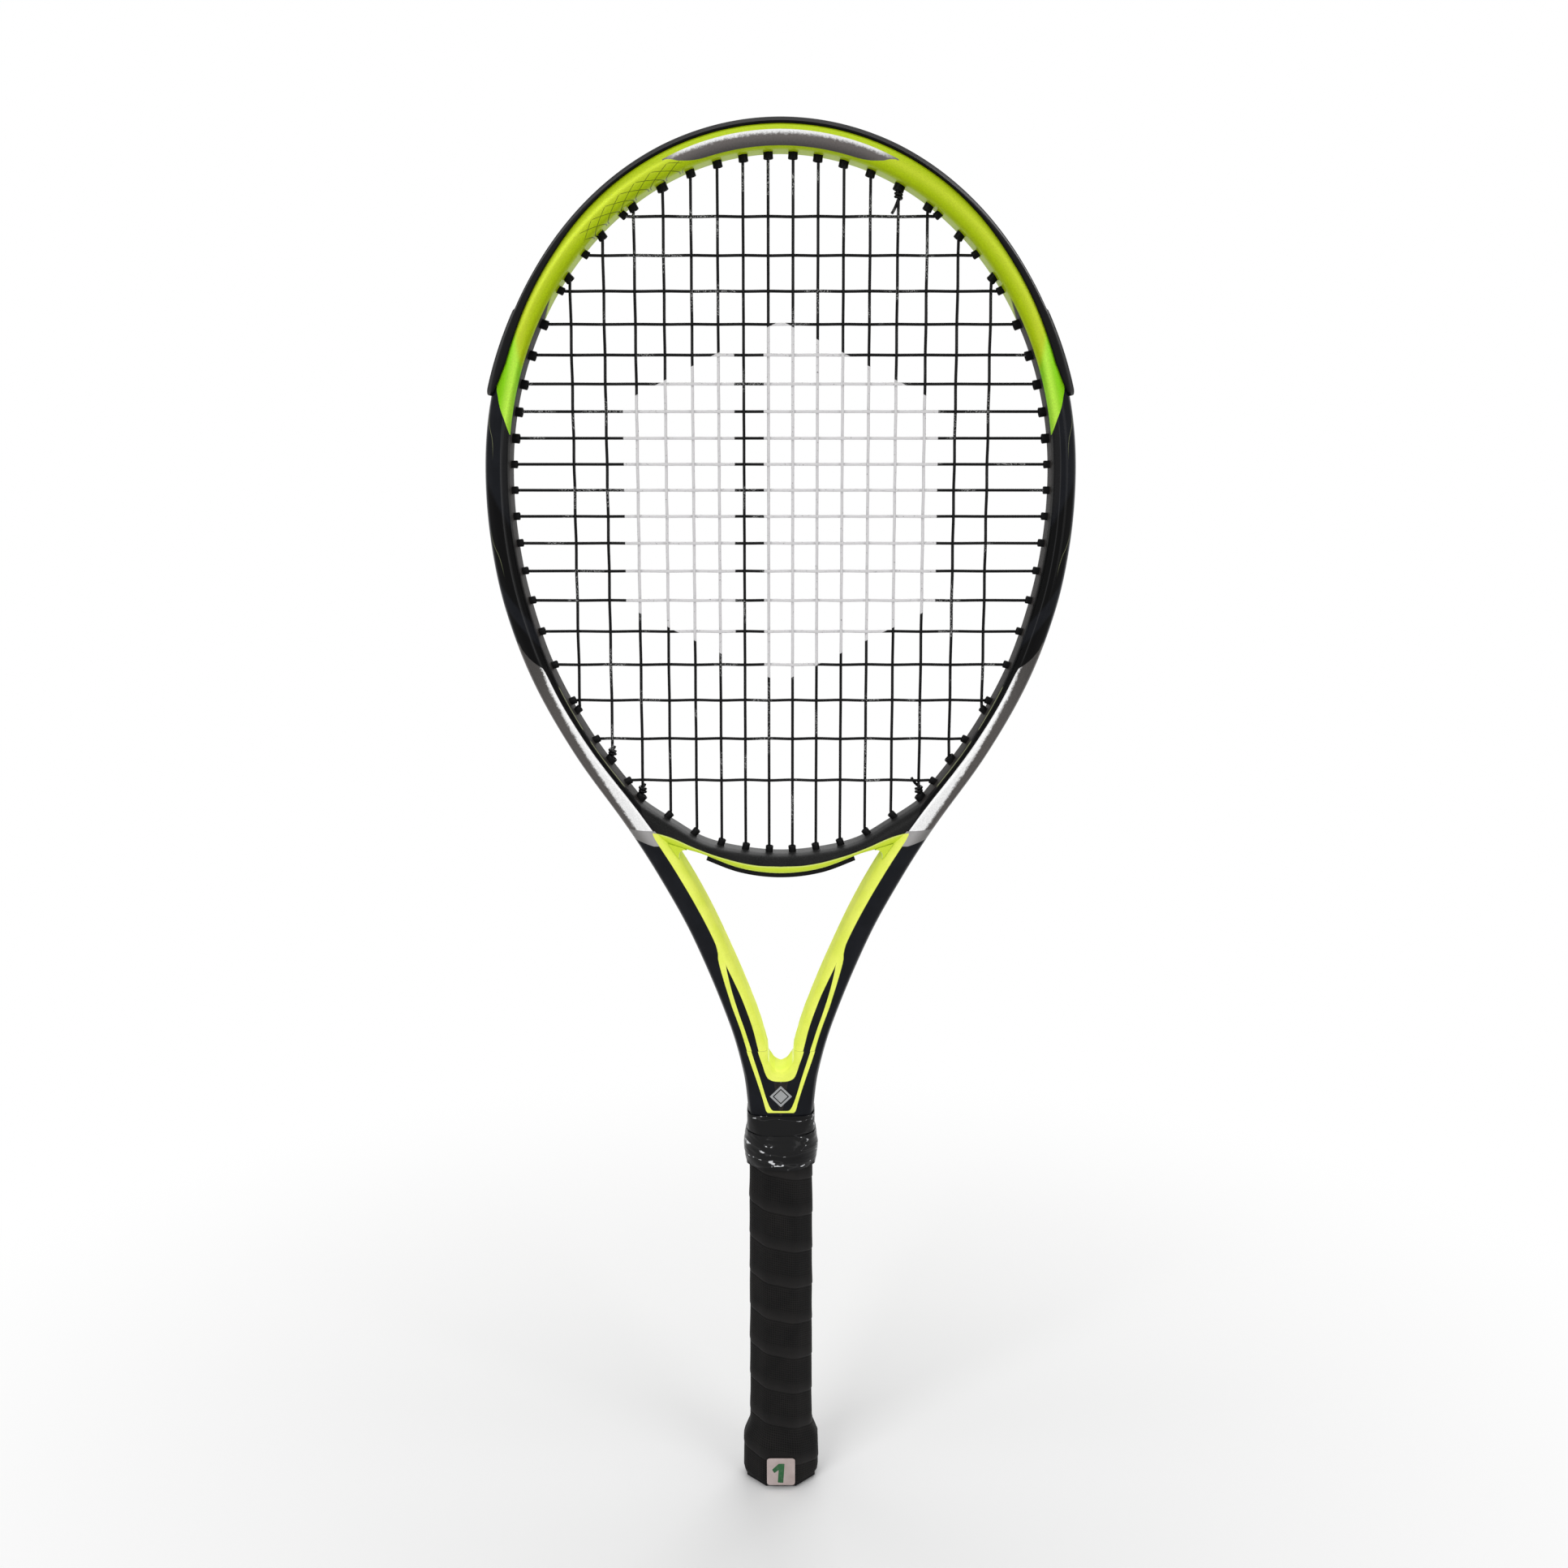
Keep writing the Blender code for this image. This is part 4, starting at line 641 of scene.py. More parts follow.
    # Painted highlight: the shoulder's silver is painted white on its inner half and grey on its outer half.
    colour = arm.blend(colour, (dithered_share - split).within(-0.07, 0.07).blend((0.86, 0.86, 0.86), arm_grey))
    outer_score = edge((0, 0.37), (350, 0.355), (380, 0.345), (400, 0.37), (600, 0.4))
    upper_score = edge((0, 0.31), (330, 0.32), (350, 0.34), (600, 0.4))
    scores = bar(outer_score, 0.008) & stretch(348, 400, 3)
    scores |= bar(upper_score, 0.004) & stretch(318, 349, 4)
    colour = (scores & 0.9).blend(colour, (0.006, 0.006, 0.006))
    chip_end = edge((0, 0.9), (410, 0.9), (415.5, 0.50), (417.5, 0.38), (421, 0.18), (425.5, -0.10),
                    (430, -0.4), (600, -0.8))
    chip = end_line.within(414.4, 415.0) & inward_of(chip_end) & inward_of(0.47) & down.within(405, 407)
    colour = chip.blend(colour, out.within(-0.15, 0.35).blend((0.37, 0.36, 0.36), (0.19, 0.185, 0.18)))

    throat = z.within(0.2418, 0.2422)
    band = inward_of(edge((0, -0.30), (417.5, -0.30), (419.5, -0.225), (425, -0.185), (440, -0.17),
                          (460, -0.18), (480, -0.195), (485, -0.165), (491, -0.04), (500, 0.05),
                          (510, 0.115), (520, 0.15), (541, 0.15), (552, 0.11), (600, 0.0)))
    wedge = outward_of(edge((0, -0.22), (493, -0.22), (505, -0.25), (515, -0.275), (530, -0.265),
                            (541, -0.24), (600, -0.24)), 0.006)
    wedge &= inward_of(edge((0, -0.22), (493, -0.22), (497, -0.17), (503, -0.10), (510, -0.04), (516, -0.01),
                            (525, 0.01), (532, 0.01), (541, -0.005), (600, -0.1)), 0.006)
    band &= ~(wedge & down.within(492.5, 493.5)) & through(THROAT_LINE, where)[0] & throat

    def over(*rows):
        return (z - abs(x).line(rows, 0.020, 0.200, 0.260)).within(-0.0002, 0.0002)

    foot = over((0, 0.2258), (0.0030, 0.2260), (0.00515, 0.2267), (0.0068, 0.2280), (0.0080, 0.2306),
                (0.0091, 0.2342), (0.0111, 0.2402), (0.0142, 0.2531), (0.020, 0.2590))
    stripe = over((0, 0.2091), (0.0060, 0.2091), (0.0072, 0.2097), (0.0079, 0.2114), (0.00855, 0.2140),
                  (0.0098, 0.2184), (0.01255, 0.2271), (0.01675, 0.2402), (0.020, 0.2510))
    stripe &= ~over((0, 0.2101), (0.0036, 0.21015), (0.0046, 0.2107), (0.00515, 0.2114), (0.0064, 0.2140),
                    (0.0079, 0.2184), (0.0104, 0.2271), (0.0144, 0.2402), (0.0184, 0.2531), (0.020, 0.2580))
    yellow = band | ((foot | stripe) & ~throat)
    colour = yellow.blend(colour, mottle.within(0.3, 0.7).blend((0.83, 0.93, 0.120), (0.91, 0.98, 0.165)))
    mark = abs(x) + abs(z - 0.2179)
    badge = mark.within(0.0058, 0.0055) & abs(mark - 0.0038).within(0.0003, 0.0005)
    badge &= abs(y).within(0.009, 0.010)
    colour = badge.blend(colour, (0.36, 0.37, 0.375))

    metal = lime | crescent | arm
    tone = (where.noise(1800.0, 2.0, 0.7) - 0.5) * metal.blend(0.15, 0.55) + 1.0
    colour, rough, height = handled(where, colour.scaled(tone), metal.blend(0.22, 0.36), 0.02, 0.05)
    return coat(material, Base_Color=colour, Roughness=charcoal * 0.35 + rough, Metallic=metal * 0.15,
                Coat_Weight=wall.blend(0.10, 0.02), Normal=height.bump(0.15, 0.0004))


hoop_end, arch_end = rim_u(0.345), rim_u(CROTCH_Z - 0.004)
places = list(np.linspace(TOP_U, hoop_end, 190))
places += list(np.linspace(hoop_end, ARCH_START, 60)[1:])
places += list(np.linspace(ARCH_START, ARCH_END, 26)[1:])
places += list(np.linspace(ARCH_END, arch_end, 9)[1:])
places += list(np.linspace(arch_end, rim_u(SHAFT_END_Z), 16)[1:])
places += [rim_u(z) for z in (0.200, 0.194, 0.189, 0.185, 0.182, 0.100, LEG_END_Z)]
right = [throat_ring(u) if u > THROAT_START else RIM.ring(u, frame_outline(u)) for u in places]
left = [ring * np.array([-1.0, 1.0, 1.0]) for ring in right[:0:-1]]
frame_mesh = skin("frame", left + right)
spots = np.array([vertex.co for vertex in frame_mesh.vertices])
frame_mesh.attributes.new("tube_place", 'FLOAT_VECTOR', 'POINT').data.foreach_set(
    "vector", tube_places(spots).ravel())
piece("frame", frame_mesh, frame_paint(), "frame_paint", "frame_hairpin")

# Throat bridge: a short curved tube that closes the hoop between the arms. It is moulded with the
# frame, sprayed a satin charcoal, and its lower edge carries the yellow of the throat on.
BRIDGE_WIDTH = 0.0092
BRIDGE_DEPTH = 0.0225
BRIDGE_FLAT = 0.20
FILLET_RADIUS = 0.0030
FILLET_SIGHT = 0.012
FILLET_ROOT = 0.0015
FILLET_DEPTH = 0.0100
FILLET_HEIGHTS = (0.32, 0.37)
FILLET_STEPS = 10


def bridge_stations():
    """Centreline of the bridge from right to left, its ends lying along the arms"""
    middle_z = HOOP_CENTRE_Z - BRIDGE_DROP - BRIDGE_WIDTH / 2
    half = [
        (0.5790, 0.1875, 0.65 * BRIDGE_WIDTH),
        (0.5122, 0.1370, 0.95 * BRIDGE_WIDTH),
        (0.4157, 0.0870, 1.08 * BRIDGE_WIDTH),
        (0.2858, 0.0435, 0.61 * BRIDGE_WIDTH),
        (0.1411, 0.0109, 0.91 * BRIDGE_WIDTH),
    ]
    right = [(HOOP_HALF_WIDTH * x, middle_z + BRIDGE_DROP * rise, width, BRIDGE_DEPTH, 0.0)
             for x, rise, width in half]
    left = [(-x, z, width, depth, groove) for x, z, width, depth, groove in right[::-1]]
    return right + [(0.0, middle_z, BRIDGE_WIDTH, BRIDGE_DEPTH, 0.0)] + left


BRIDGE = Tube(bridge_stations())


def bridge_outline(u):
    width, depth = BRIDGE.look(BRIDGE.width, u), BRIDGE.look(BRIDGE.depth, u)
    shares = [(-0.50, 0.18), (-0.40, 0.40), (-0.12, 0.50), (0.26, 0.50), (0.50, 0.38), (0.50, BRIDGE_FLAT)]
    return both_faces([(out * width, y * depth) for out, y in shares],
                      [0.0012, 0.0022, 0.0020, 0.0016, 0.0014, 0.0006])


def bridge_paint():
    """Satin charcoal with a sandy speckle, the lower edge yellow"""
    material, where = finish("bridge_paint", Coat_Roughness=0.2, Coat_IOR=1.3, Specular_IOR_Level=0.08)
    yellow, above = through(THROAT_LINE, where)
    sand = where.noise(2200.0, 2.0, 0.8).within(0.50, 0.74)
    dark = where.noise(60.0, 3.0).within(0.3, 0.7).blend((0.0060, 0.0062, 0.0063), (0.0110, 0.0110, 0.0112))
    dark = (sand * 0.45).blend(dark, (0.045, 0.045, 0.045))
    pale = abs(above + 0.0003).within(0.0004, 0.0002) * 0.35
    tone = yellow.blend(dark, pale.blend((0.62, 0.76, 0.050), (0.86, 0.92, 0.45)))
    colour, rough, height = handled(where, tone, yellow.blend(0.48, 0.30), 0.03, 0.10)
    return coat(material, Base_Color=colour, Roughness=rough, Coat_Weight=yellow.blend(0.02, 0.10),
                Normal=(height + sand * 0.4).bump(0.2, 0.0003))


def corner_fillet(side):
    """Wedge that rounds the opening's upper corner, between the bridge's underside and the arm"""
    under = BRIDGE.point + BRIDGE.outward * BRIDGE.width[:, None] / 2
    arm = RIM.point - RIM.outward * RIM.width[:, None] / 2
    under = under[under[:, 0] > 0]
    arm = arm[(arm[:, 0] > 0) & (arm[:, 1] > FILLET_HEIGHTS[0]) & (arm[:, 1] < FILLET_HEIGHTS[1])]
    apart = np.linalg.norm(under[:, None] - arm[None], axis=2)
    vertex = under[apart.argmin() // len(arm)]

    def way_along(line, axis):
        """Direction from the corner to the line's point one sight away, towards lower values"""
        off = np.abs(np.linalg.norm(line - vertex, axis=1) - FILLET_SIGHT) + (line[:, axis] > vertex[axis])
        way = line[off.argmin()] - vertex
        return way / np.linalg.norm(way)

    ways = [way_along(under, 0), way_along(arm, 1)]
    between = (ways[0] + ways[1]) / np.linalg.norm(ways[0] + ways[1])
    half_angle = acos(float(ways[0] @ between))
    centre = vertex + between * FILLET_RADIUS / sin(half_angle)
    touch = [vertex + way * FILLET_RADIUS / tan(half_angle) for way in ways]
    first, last = [atan2(*(point - centre)[::-1]) for point in touch]
    turn = (last - first + pi) % (2 * pi) - pi
    angles = [first + turn * i / FILLET_STEPS for i in range(FILLET_STEPS + 1)]
    corners = [centre + FILLET_RADIUS * np.array([cos(angle), sin(angle)]) for angle in angles]
    corners += [point - between * FILLET_ROOT for point in (touch[1], vertex, touch[0])]
    return skin("fillet", [[(side * x, y, z) for x, z in corners] for y in (-FILLET_DEPTH, FILLET_DEPTH)])


bridge_body = run_along("bridge", BRIDGE, bridge_outline, np.linspace(0.0, BRIDGE.length, 120))
piece("bridge", joined("bridge", bridge_body, corner_fillet(-1), corner_fillet(1)), bridge_paint(),
      "bridge_paint", "throat_bridge")

# String holes: each has a moulded barrel that lines the drilled frame, and leans towards its string.
# The mains widen from the middle and the crosses from the widest part of the hoop.
MAIN_COUNT = 16
CROSS_COUNT = 19
MAIN_PITCH = 0.0861 * HOOP_HALF_WIDTH
MAIN_SIDE_MARGIN = 0.2227 * HOOP_HALF_WIDTH
CROSS_PITCH = 0.01768 * LENGTH
CROSS_ABOVE_CENTRE = 8
CROSS_CENTRE_LIFT = 0.0093 * LENGTH
FIRST_CROSS_DROP = 0.0415 * LENGTH
LAST_CROSS_RISE = 0.0528 * LENGTH
STRING_DIAMETER = 0.0013
STRING_LEAD = 0.0005
HOLE_SHIFT = 0.00043
TIE_SHIFT = 0.0009
HOLE_LEAN = 0.25
BRIDGE_HOLE_LEAN = 0.5
WIDE_BARREL = (0.0047, 0.0032)
SLIM_BARREL = (0.0038, 0.0026)
TIE_BARREL = (0.0054, 0.0042)
TOP_PROTRUSION = 0.0024
SIDE_PROTRUSION = 0.0026
BRIDGE_PROTRUSION = 0.0028
BORE_FLAT = cos(pi / 6)
BARREL_SIDES = 18
BARREL_PUSH = 0.0003
STOUT_PUSH = 0.0008
STOUT_WIDTH = 0.0046
WIDE_CROSSES = range(4, 9)
BRIDGE_MAINS = 3
SHOULDER_MAINS = 5


def spread(index, pitch, last_index, last_place):
    """Place of one string when the pitch grows evenly from the middle to the last place"""
    growth = (last_place - pitch * last_index) / last_index ** 3
    return pitch * index + growth * index ** 3


def cross_heights():
    middle = HOOP_CENTRE_Z + CROSS_CENTRE_LIFT
    below = CROSS_COUNT - 1 - CROSS_ABOVE_CENTRE
    reach_up = LENGTH - BUMPER_RISE_TOP - RIM_WIDTH_TOP - FIRST_CROSS_DROP - middle
    reach_down = middle - (HOOP_CENTRE_Z - BRIDGE_DROP) - LAST_CROSS_RISE
    heights = []
    for place in range(CROSS_ABOVE_CENTRE, CROSS_ABOVE_CENTRE - CROSS_COUNT, -1):
        if place >= 0:
            heights.append(middle + spread(place, CROSS_PITCH, CROSS_ABOVE_CENTRE, reach_up))
        else:
            heights.append(middle - spread(-place, CROSS_PITCH, below, reach_down))
    return heights


MAIN_HALF = MAIN_COUNT // 2
LAST_MAIN_X = HOOP_HALF_WIDTH - RIM_WIDTH_SIDE / 2 - MAIN_SIDE_MARGIN
MAIN_X = [spread(i + 0.5, MAIN_PITCH, MAIN_HALF - 0.5, LAST_MAIN_X) for i in range(MAIN_HALF)]
CROSS_Z = cross_heights()


class Hole:
    """One string hole. The string comes along `inward` and enters the barrel's inner end."""

    def __init__(self, path, u, inward, string_at, protrusion, barrel, lean, toward=None):
        self.path, self.u, self.inward = path, u, np.array(inward, dtype=float)
        self.barrel, self.bore = barrel
        target = -self.inward if toward is None else toward
        axis = (1 - lean) * path.normal(u) + lean * target
        self.axis = axis / np.linalg.norm(axis)
        wall = path.place(u, -path.look(path.width, u) / 2)
        self.inner_end = wall - self.axis * protrusion
        along = self.inward @ self.axis
        line = string_at - self.inner_end
        self.entry = string_at - self.inward * (line @ self.axis) / along
        across = np.cross(self.axis, (0.0, 1.0, 0.0))
        turn = self.inward @ across
        slack = self.bore * BORE_FLAT / 2 - STRING_DIAMETER / 2 - STRING_LEAD * abs(turn)
        slack = max(slack - (TIE_SHIFT if self.tie() else 0.0), 0.0)
        wanted = min(slack, protrusion * abs(turn / along))
        self.miss = (self.entry - self.inner_end) @ across - np.sign(turn) * wanted

    def tie(self):
        return self.barrel == TIE_BARREL[0]

    def leave(self, path):
        self.path = path
        self.u, self.outer_end = path.meet(self.inner_end, self.axis)

    def lead(self, y=0.0):
        """Point of the string just before it enters the barrel"""
        return self.entry + self.inward * STRING_LEAD + np.array([0.0, y, 0.0])

    def mouth(self, y):
        """Point of the string just before it leaves the barrel's outer end"""
        return self.outer_end - self.axis * STRING_DIAMETER / 2 + np.array([0.0, y, 0.0])

    def shift(self, lane):
        return np.sign(lane) * (TIE_SHIFT if self.tie() else HOLE_SHIFT)


def fit_hole(path, low, high, *options, out_path=None):
    """The hole between two places whose barrel takes its string with the least bend"""
    places = np.linspace(low, high, 240)
    misses = [Hole(path, u, *options).miss for u in places]
    for i in range(len(places) - 1):
        if misses[i] * misses[i + 1] <= 0:
            share = misses[i] / (misses[i] - misses[i + 1])
            hole = Hole(path, places[i] + share * (places[i + 1] - places[i]), *options)
            hole.leave(out_path or path)
            return hole
    raise ValueError("a string misses the frame")


def drill():
    """Every hole, keyed (kind, side, number): side 1 is +X, numbers count from the middle or the top"""
    side_u, foot_u = rim_u(HOOP_CENTRE_Z), rim_u(HOOP_CENTRE_Z - 0.95 * BRIDGE_DROP)
    up, down, inward = (0.0, 0.0, 1.0), (0.0, 0.0, -1.0), (-1.0, 0.0, 0.0)
    holes = {}
    for number, x in enumerate(MAIN_X, start=1):
        at = np.array([x, 0.0, 0.0])
        size = TIE_BARREL if number == SHOULDER_MAINS else SLIM_BARREL
        holes["top", 1, number] = fit_hole(RIM, TOP_U, side_u, down, at, TOP_PROTRUSION, size, HOLE_LEAN)
        under_bridge = BRIDGE, 0.0, BRIDGE.length / 2, up, at, BRIDGE_PROTRUSION, SLIM_BARREL
        if number <= BRIDGE_MAINS:
            hole = fit_hole(*under_bridge, 0.0)
        elif number <= SHOULDER_MAINS:
            toward = RIM.normal(rim_u(HOOP_CENTRE_Z - BRIDGE_DROP))
            hole = fit_hole(*under_bridge, BRIDGE_HOLE_LEAN, toward, out_path=RIM)
        else:
            size = TIE_BARREL if number < MAIN_HALF else SLIM_BARREL
            hole = fit_hole(RIM, side_u, foot_u, up, at, SIDE_PROTRUSION, size, HOLE_LEAN)
        holes["bottom", 1, number] = hole
    for number, z in enumerate(CROSS_Z, start=1):
        size = WIDE_BARREL if number in WIDE_CROSSES else SLIM_BARREL
        holes["cross", 1, number] = fit_hole(RIM, TOP_U, foot_u, inward, np.array([0.0, 0.0, z]),
                                             SIDE_PROTRUSION, size, HOLE_LEAN)
    for (kind, side, number), hole in list(holes.items()):
        twin = Hole.__new__(Hole)
        twin.__dict__.update(hole.__dict__)
        twin.u = hole.path.length - hole.u
        for name in ("axis", "inward", "inner_end", "entry", "outer_end"):
            twin.__dict__[name] = getattr(hole, name) * np.array([-1.0, 1.0, 1.0])
        holes[kind, -1, number] = twin
    return holes


HOLES = drill()


def barrel_mesh():
    """One barrel of unit width, its mouth at the origin and its length along +Z, with a blind bore"""
    profile = [(0.0, 0.0040), (0.335, 0.0040), (0.340, 0.0005), (0.375, 0.00005), (0.430, 0.0),
               (0.475, 0.0001), (0.500, 0.0004), (0.487, 0.0014), (0.487, 0.0085), (0.0, 0.0085)]
    angles = [2 * pi * step / BARREL_SIDES for step in range(BARREL_SIDES)]
    shape = bmesh.new()
    walls(shape, [[(radius * cos(angle), radius * sin(angle), z) for angle in angles]
                  for radius, z in profile])
    return closed("barrel", shape, 1.2, 1e-5)


def painted(geometry, material):
    """Plain mesh of a geometry in one material"""
    real = geometry.add("GeometryNodeRealizeInstances", {"Geometry": geometry})
    return geometry.add("GeometryNodeSetMaterial", {"Geometry": real, "Material": material})


def barrels_tree():
    """Geometry nodes: a barrel on every hole, turned along the hole and scaled to its width"""
    inputs = {"Holes": 'Geometry', "Barrel": 'Object', "Plastic": 'Material'}
    tree, given, made = effect("barrels_in_holes", inputs, {"Barrels": 'Geometry'}, 'GeometryNodeTree')
    named = "GeometryNodeInputNamedAttribute"
    axis = add(tree, named, {"Name": "axis"}, "Attribute", data_type='FLOAT_VECTOR')
    width = add(tree, named, {"Name": "width"}, "Attribute", data_type='FLOAT')
    spots = add(tree, "GeometryNodeInstanceOnPoints", {
        "Points": given["Holes"],
        "Instance": add(tree, "GeometryNodeObjectInfo", {"Object": given["Barrel"]}, "Geometry"),
        "Rotation": add(tree, "FunctionNodeAlignRotationToVector", {"Vector": axis}, "Rotation", axis='Z'),
        "Scale": add(tree, "ShaderNodeCombineXYZ", {"X": width, "Y": width, "Z": 1.0})})
    feed(made["Barrels"], painted(spots, given["Plastic"]))
    return tree


def grown_mesh(name, base, tree, **settings):
    """Plain mesh of what a geometry-nodes tree grows on a base mesh"""
    holder = placed(name, base)
    step = holder.modifiers.new("grow", 'NODES')
    step.node_group = tree
    sockets = {item.name: item.identifier for item in tree.interface.items_tree if item.in_out == 'INPUT'}
    for label, value in settings.items():
        step[sockets[label]] = value
    bpy.context.view_layer.update()
    mesh = bpy.data.meshes.new_from_object(holder.evaluated_get(bpy.context.evaluated_depsgraph_get()))
    holder.modifiers.remove(step)
    bpy.data.objects.remove(holder, do_unlink=True)
    return mesh


def barrels(keys, plastic):
    """Barrels for these holes; the ones at the head are stouter and stand a little further out"""
    spots, widths = [], []
    for key in keys:
        stout = key[0] == "top" or (key[0] == "cross" and key[2] in WIDE_CROSSES)
        spots.append(HOLES[key].inner_end - HOLES[key].axis * (STOUT_PUSH if stout else BARREL_PUSH))
        widths.append(max(HOLES[key].barrel, STOUT_WIDTH) if stout else HOLES[key].barrel)
    base = bpy.data.meshes.new("holes")
    base.from_pydata([spot.tolist() for spot in spots], [], [])
    base.attributes.new("axis", 'FLOAT_VECTOR', 'POINT').data.foreach_set(
        "vector", np.array([HOLES[key].axis for key in keys]).ravel())
    base.attributes.new("width", 'FLOAT', 'POINT').data.foreach_set("value", widths)
    return grown_mesh("holes", base, BARRELS_TREE, Barrel=BARREL, Plastic=plastic)


BARREL = placed("one_barrel", barrel_mesh())
BARRELS_TREE = barrels_tree()

# Bumper: a strip of black nylon moulded with its barrels and pushed over the head. It guards the
# rim where it scrapes the floor, and holds the string loops in a channel between two ribs.
BUMPER_RISE_SIDE = 0.0010
BUMPER_PAD_RISE = 0.0005
BUMPER_PAD_Z = 0.8725 * LENGTH
BUMPER_END_Z = 0.8174 * LENGTH
BUMPER_TONGUE_Z = 0.7840 * LENGTH
BUMPER_ROUND = 0.0030
BUMPER_WALL = 0.0009
BUMPER_WING = 0.0011
CHANNEL_WIDTH = 0.0052
STRIP_WIDTH = 0.0066


def moulded_plastic(name, colour, roughness, wear, grain_scale=1400.0):
    """Black nylon: fine moulding grain, dull patches and pale scuffs"""
    material, where = finish(name, Specular_IOR_Level=0.06)
    colour, rough, height = handled(where, colour, roughness, 0.06, wear, grain_scale)
    return coat(material, Base_Color=colour, Roughness=rough, Normal=height.bump(0.35, 0.0004))


def bumper_rise(u):
    z = RIM.look(RIM.point, u)[1]
    rise = np.interp(z, [BUMPER_PAD_Z, LENGTH - 0.02], [BUMPER_RISE_SIDE, BUMPER_RISE_TOP])
    return float(rise + BUMPER_PAD_RISE * np.interp(z, [BUMPER_PAD_Z - 0.001, BUMPER_PAD_Z], [1.0, 0.0]))


def bumper_outline(u, end_u):
    """Channel between two ribs, a raised line along each edge and a wing laid over the rim's face"""
    width, depth = RIM.look(RIM.width, u), RIM.look(RIM.depth, u)
    down = abs(u - TOP_U)
    left = max(end_u - down, 0.0)
    fade = sqrt(1 - (1 - min(left / BUMPER_ROUND, 1.0)) ** 2)
    wall = width / 2 + GAP
    swell = float(np.interp(end_u - down, [0.0, 0.004, 0.030, 0.060], [0.0009, 0.0009, 0.0004, 0.0]))
    rise = max((bumper_rise(u) + swell) * (0.55 + 0.45 * fade), BUMPER_WALL)
    wing = [(0.0, 0.45), (0.060, 0.43), (0.080, 0.40), (0.100, 0.34), (0.120, 0.25), (0.140, 0.205),
            (0.160, 0.155), (0.174, 0.14), (0.182, 0.23), (0.188, 0.33), (0.190, 0.40)]
    reach = 0.46 + (float(np.interp(down, *zip(*wing))) - 0.46) * fade
    half = CHANNEL_WIDTH / 2
    face_y = np.interp(reach, [0.05, 0.40, 0.50], [0.50, 0.38, 0.26]) * depth
    bend = max(reach, 0.42)
    bend_y = np.interp(bend, [0.40, 0.50], [0.38, 0.26]) * depth
    top = wall + rise - GAP
    rows = [
        (RIM.bed(u) - STRIP_BASE, STRIP_WIDTH / 2 - GROOVE_TAPER, 0.0002),
        (wall, GROOVE_WIDTH / 2 - GROOVE_TAPER / 2, 0.0002),
        (wall - 0.0001, 0.255 * depth, 0.0002),
        (min(0.40, reach) * width + 0.0001, min(face_y, 0.38 * depth) + 0.0001, 0.0001),
        (reach * width + 0.0002, face_y + BUMPER_WING * 0.75, 0.0004),
        (reach * width + 0.0010, face_y + BUMPER_WING, 0.0005),
        (bend * width + 0.0010, bend_y + BUMPER_WING, 0.0008),
        (wall + rise - 0.0010, 0.262 * depth + 0.0006, 0.0006),
        (top, 0.240 * depth, 0.0003),
        (top, 0.205 * depth, 0.0002),
        (top - 0.0004, 0.190 * depth, 0.0003),
        (top - 0.0002, half + 0.0006, 0.0005),
        (RIM.bed(u) + 0.0001, half, 0.0003),
    ]
    return both_faces([row[:2] for row in rows], [row[2] for row in rows], 3)


def strip_outline(u):
    """The strip's base as it lies in the groove, its upper edges broken"""
    bed, half = RIM.bed(u), STRIP_WIDTH / 2
    return rounded([(bed - STRIP_BASE, -half), (bed - STRIP_BASE, half), (bed, half - GROOVE_TAPER),
                    (bed, -half + GROOVE_TAPER)], [0.0001, 0.0001, 0.0003, 0.0003], 2)


bumper_plastic = moulded_plastic("bumper_plastic", (0.0040, 0.0040, 0.0043), 0.42, 0.15)
end_u = rim_u(BUMPER_END_Z) - TOP_U
spots = list(np.linspace(0.0, end_u - BUMPER_ROUND, 130))
spots += [end_u - BUMPER_ROUND * (1 - sin(step * pi / 20)) for step in range(1, 11)]
spots = sorted(spots + [rim_u(BUMPER_PAD_Z) - TOP_U + shift for shift in (-0.0012, -0.0006, 0.0, 0.0006)])
spots = mirrored([TOP_U + spot for spot in spots])
body = run_along("bumper", RIM, lambda u: bumper_outline(u, end_u), spots)
tongue = np.linspace(TOP_U + end_u - 0.004, rim_u(BUMPER_TONGUE_Z), 24)
tongues = [run_along("tongue", RIM, strip_outline, run) for run in (RIM.length - tongue[::-1], tongue)]
keys = [("top", side, number) for side in (-1, 1) for number in range(1, MAIN_HALF + 1)]
keys += [("cross", side, number) for side in (-1, 1) for number in range(1, WIDE_CROSSES[-1] + 1)]
piece("bumper", joined("bumper", body, *tongues, barrels(keys, bumper_plastic)), bumper_plastic,
      "bumper_plastic", "head_bumper")

# Grommet strips: thin nylon strips in the groove down each side, a short one at each shoulder and a
# railed one under the bridge. Their barrels come through the frame and end just inside the hoop.
BRIDGE_STRIP_REACH = 0.2673 * HOOP_HALF_WIDTH
BRIDGE_STRIP_LAP = 0.0010
BRIDGE_RAIL_HEIGHT = 0.0026
RAIL_WIDTH = 0.0012
RAIL_DRAFT = 0.0002


def bridge_strip_outline(u):
    """Base under the bridge with a rail along each side of the string"""
    floor = BRIDGE.bed(u) - STRIP_BASE
    half = BRIDGE_FLAT * BRIDGE_DEPTH + BRIDGE_STRIP_LAP
    inner, bed, rail = half - RAIL_WIDTH, floor + STRIP_BASE, floor + BRIDGE_RAIL_HEIGHT
    side = [(floor, half), (rail, half - RAIL_DRAFT), (rail, inner + RAIL_DRAFT), (bed, inner)]
    return both_faces(side, [0.0001, 0.0004, 0.0004, 0.0002], 3)


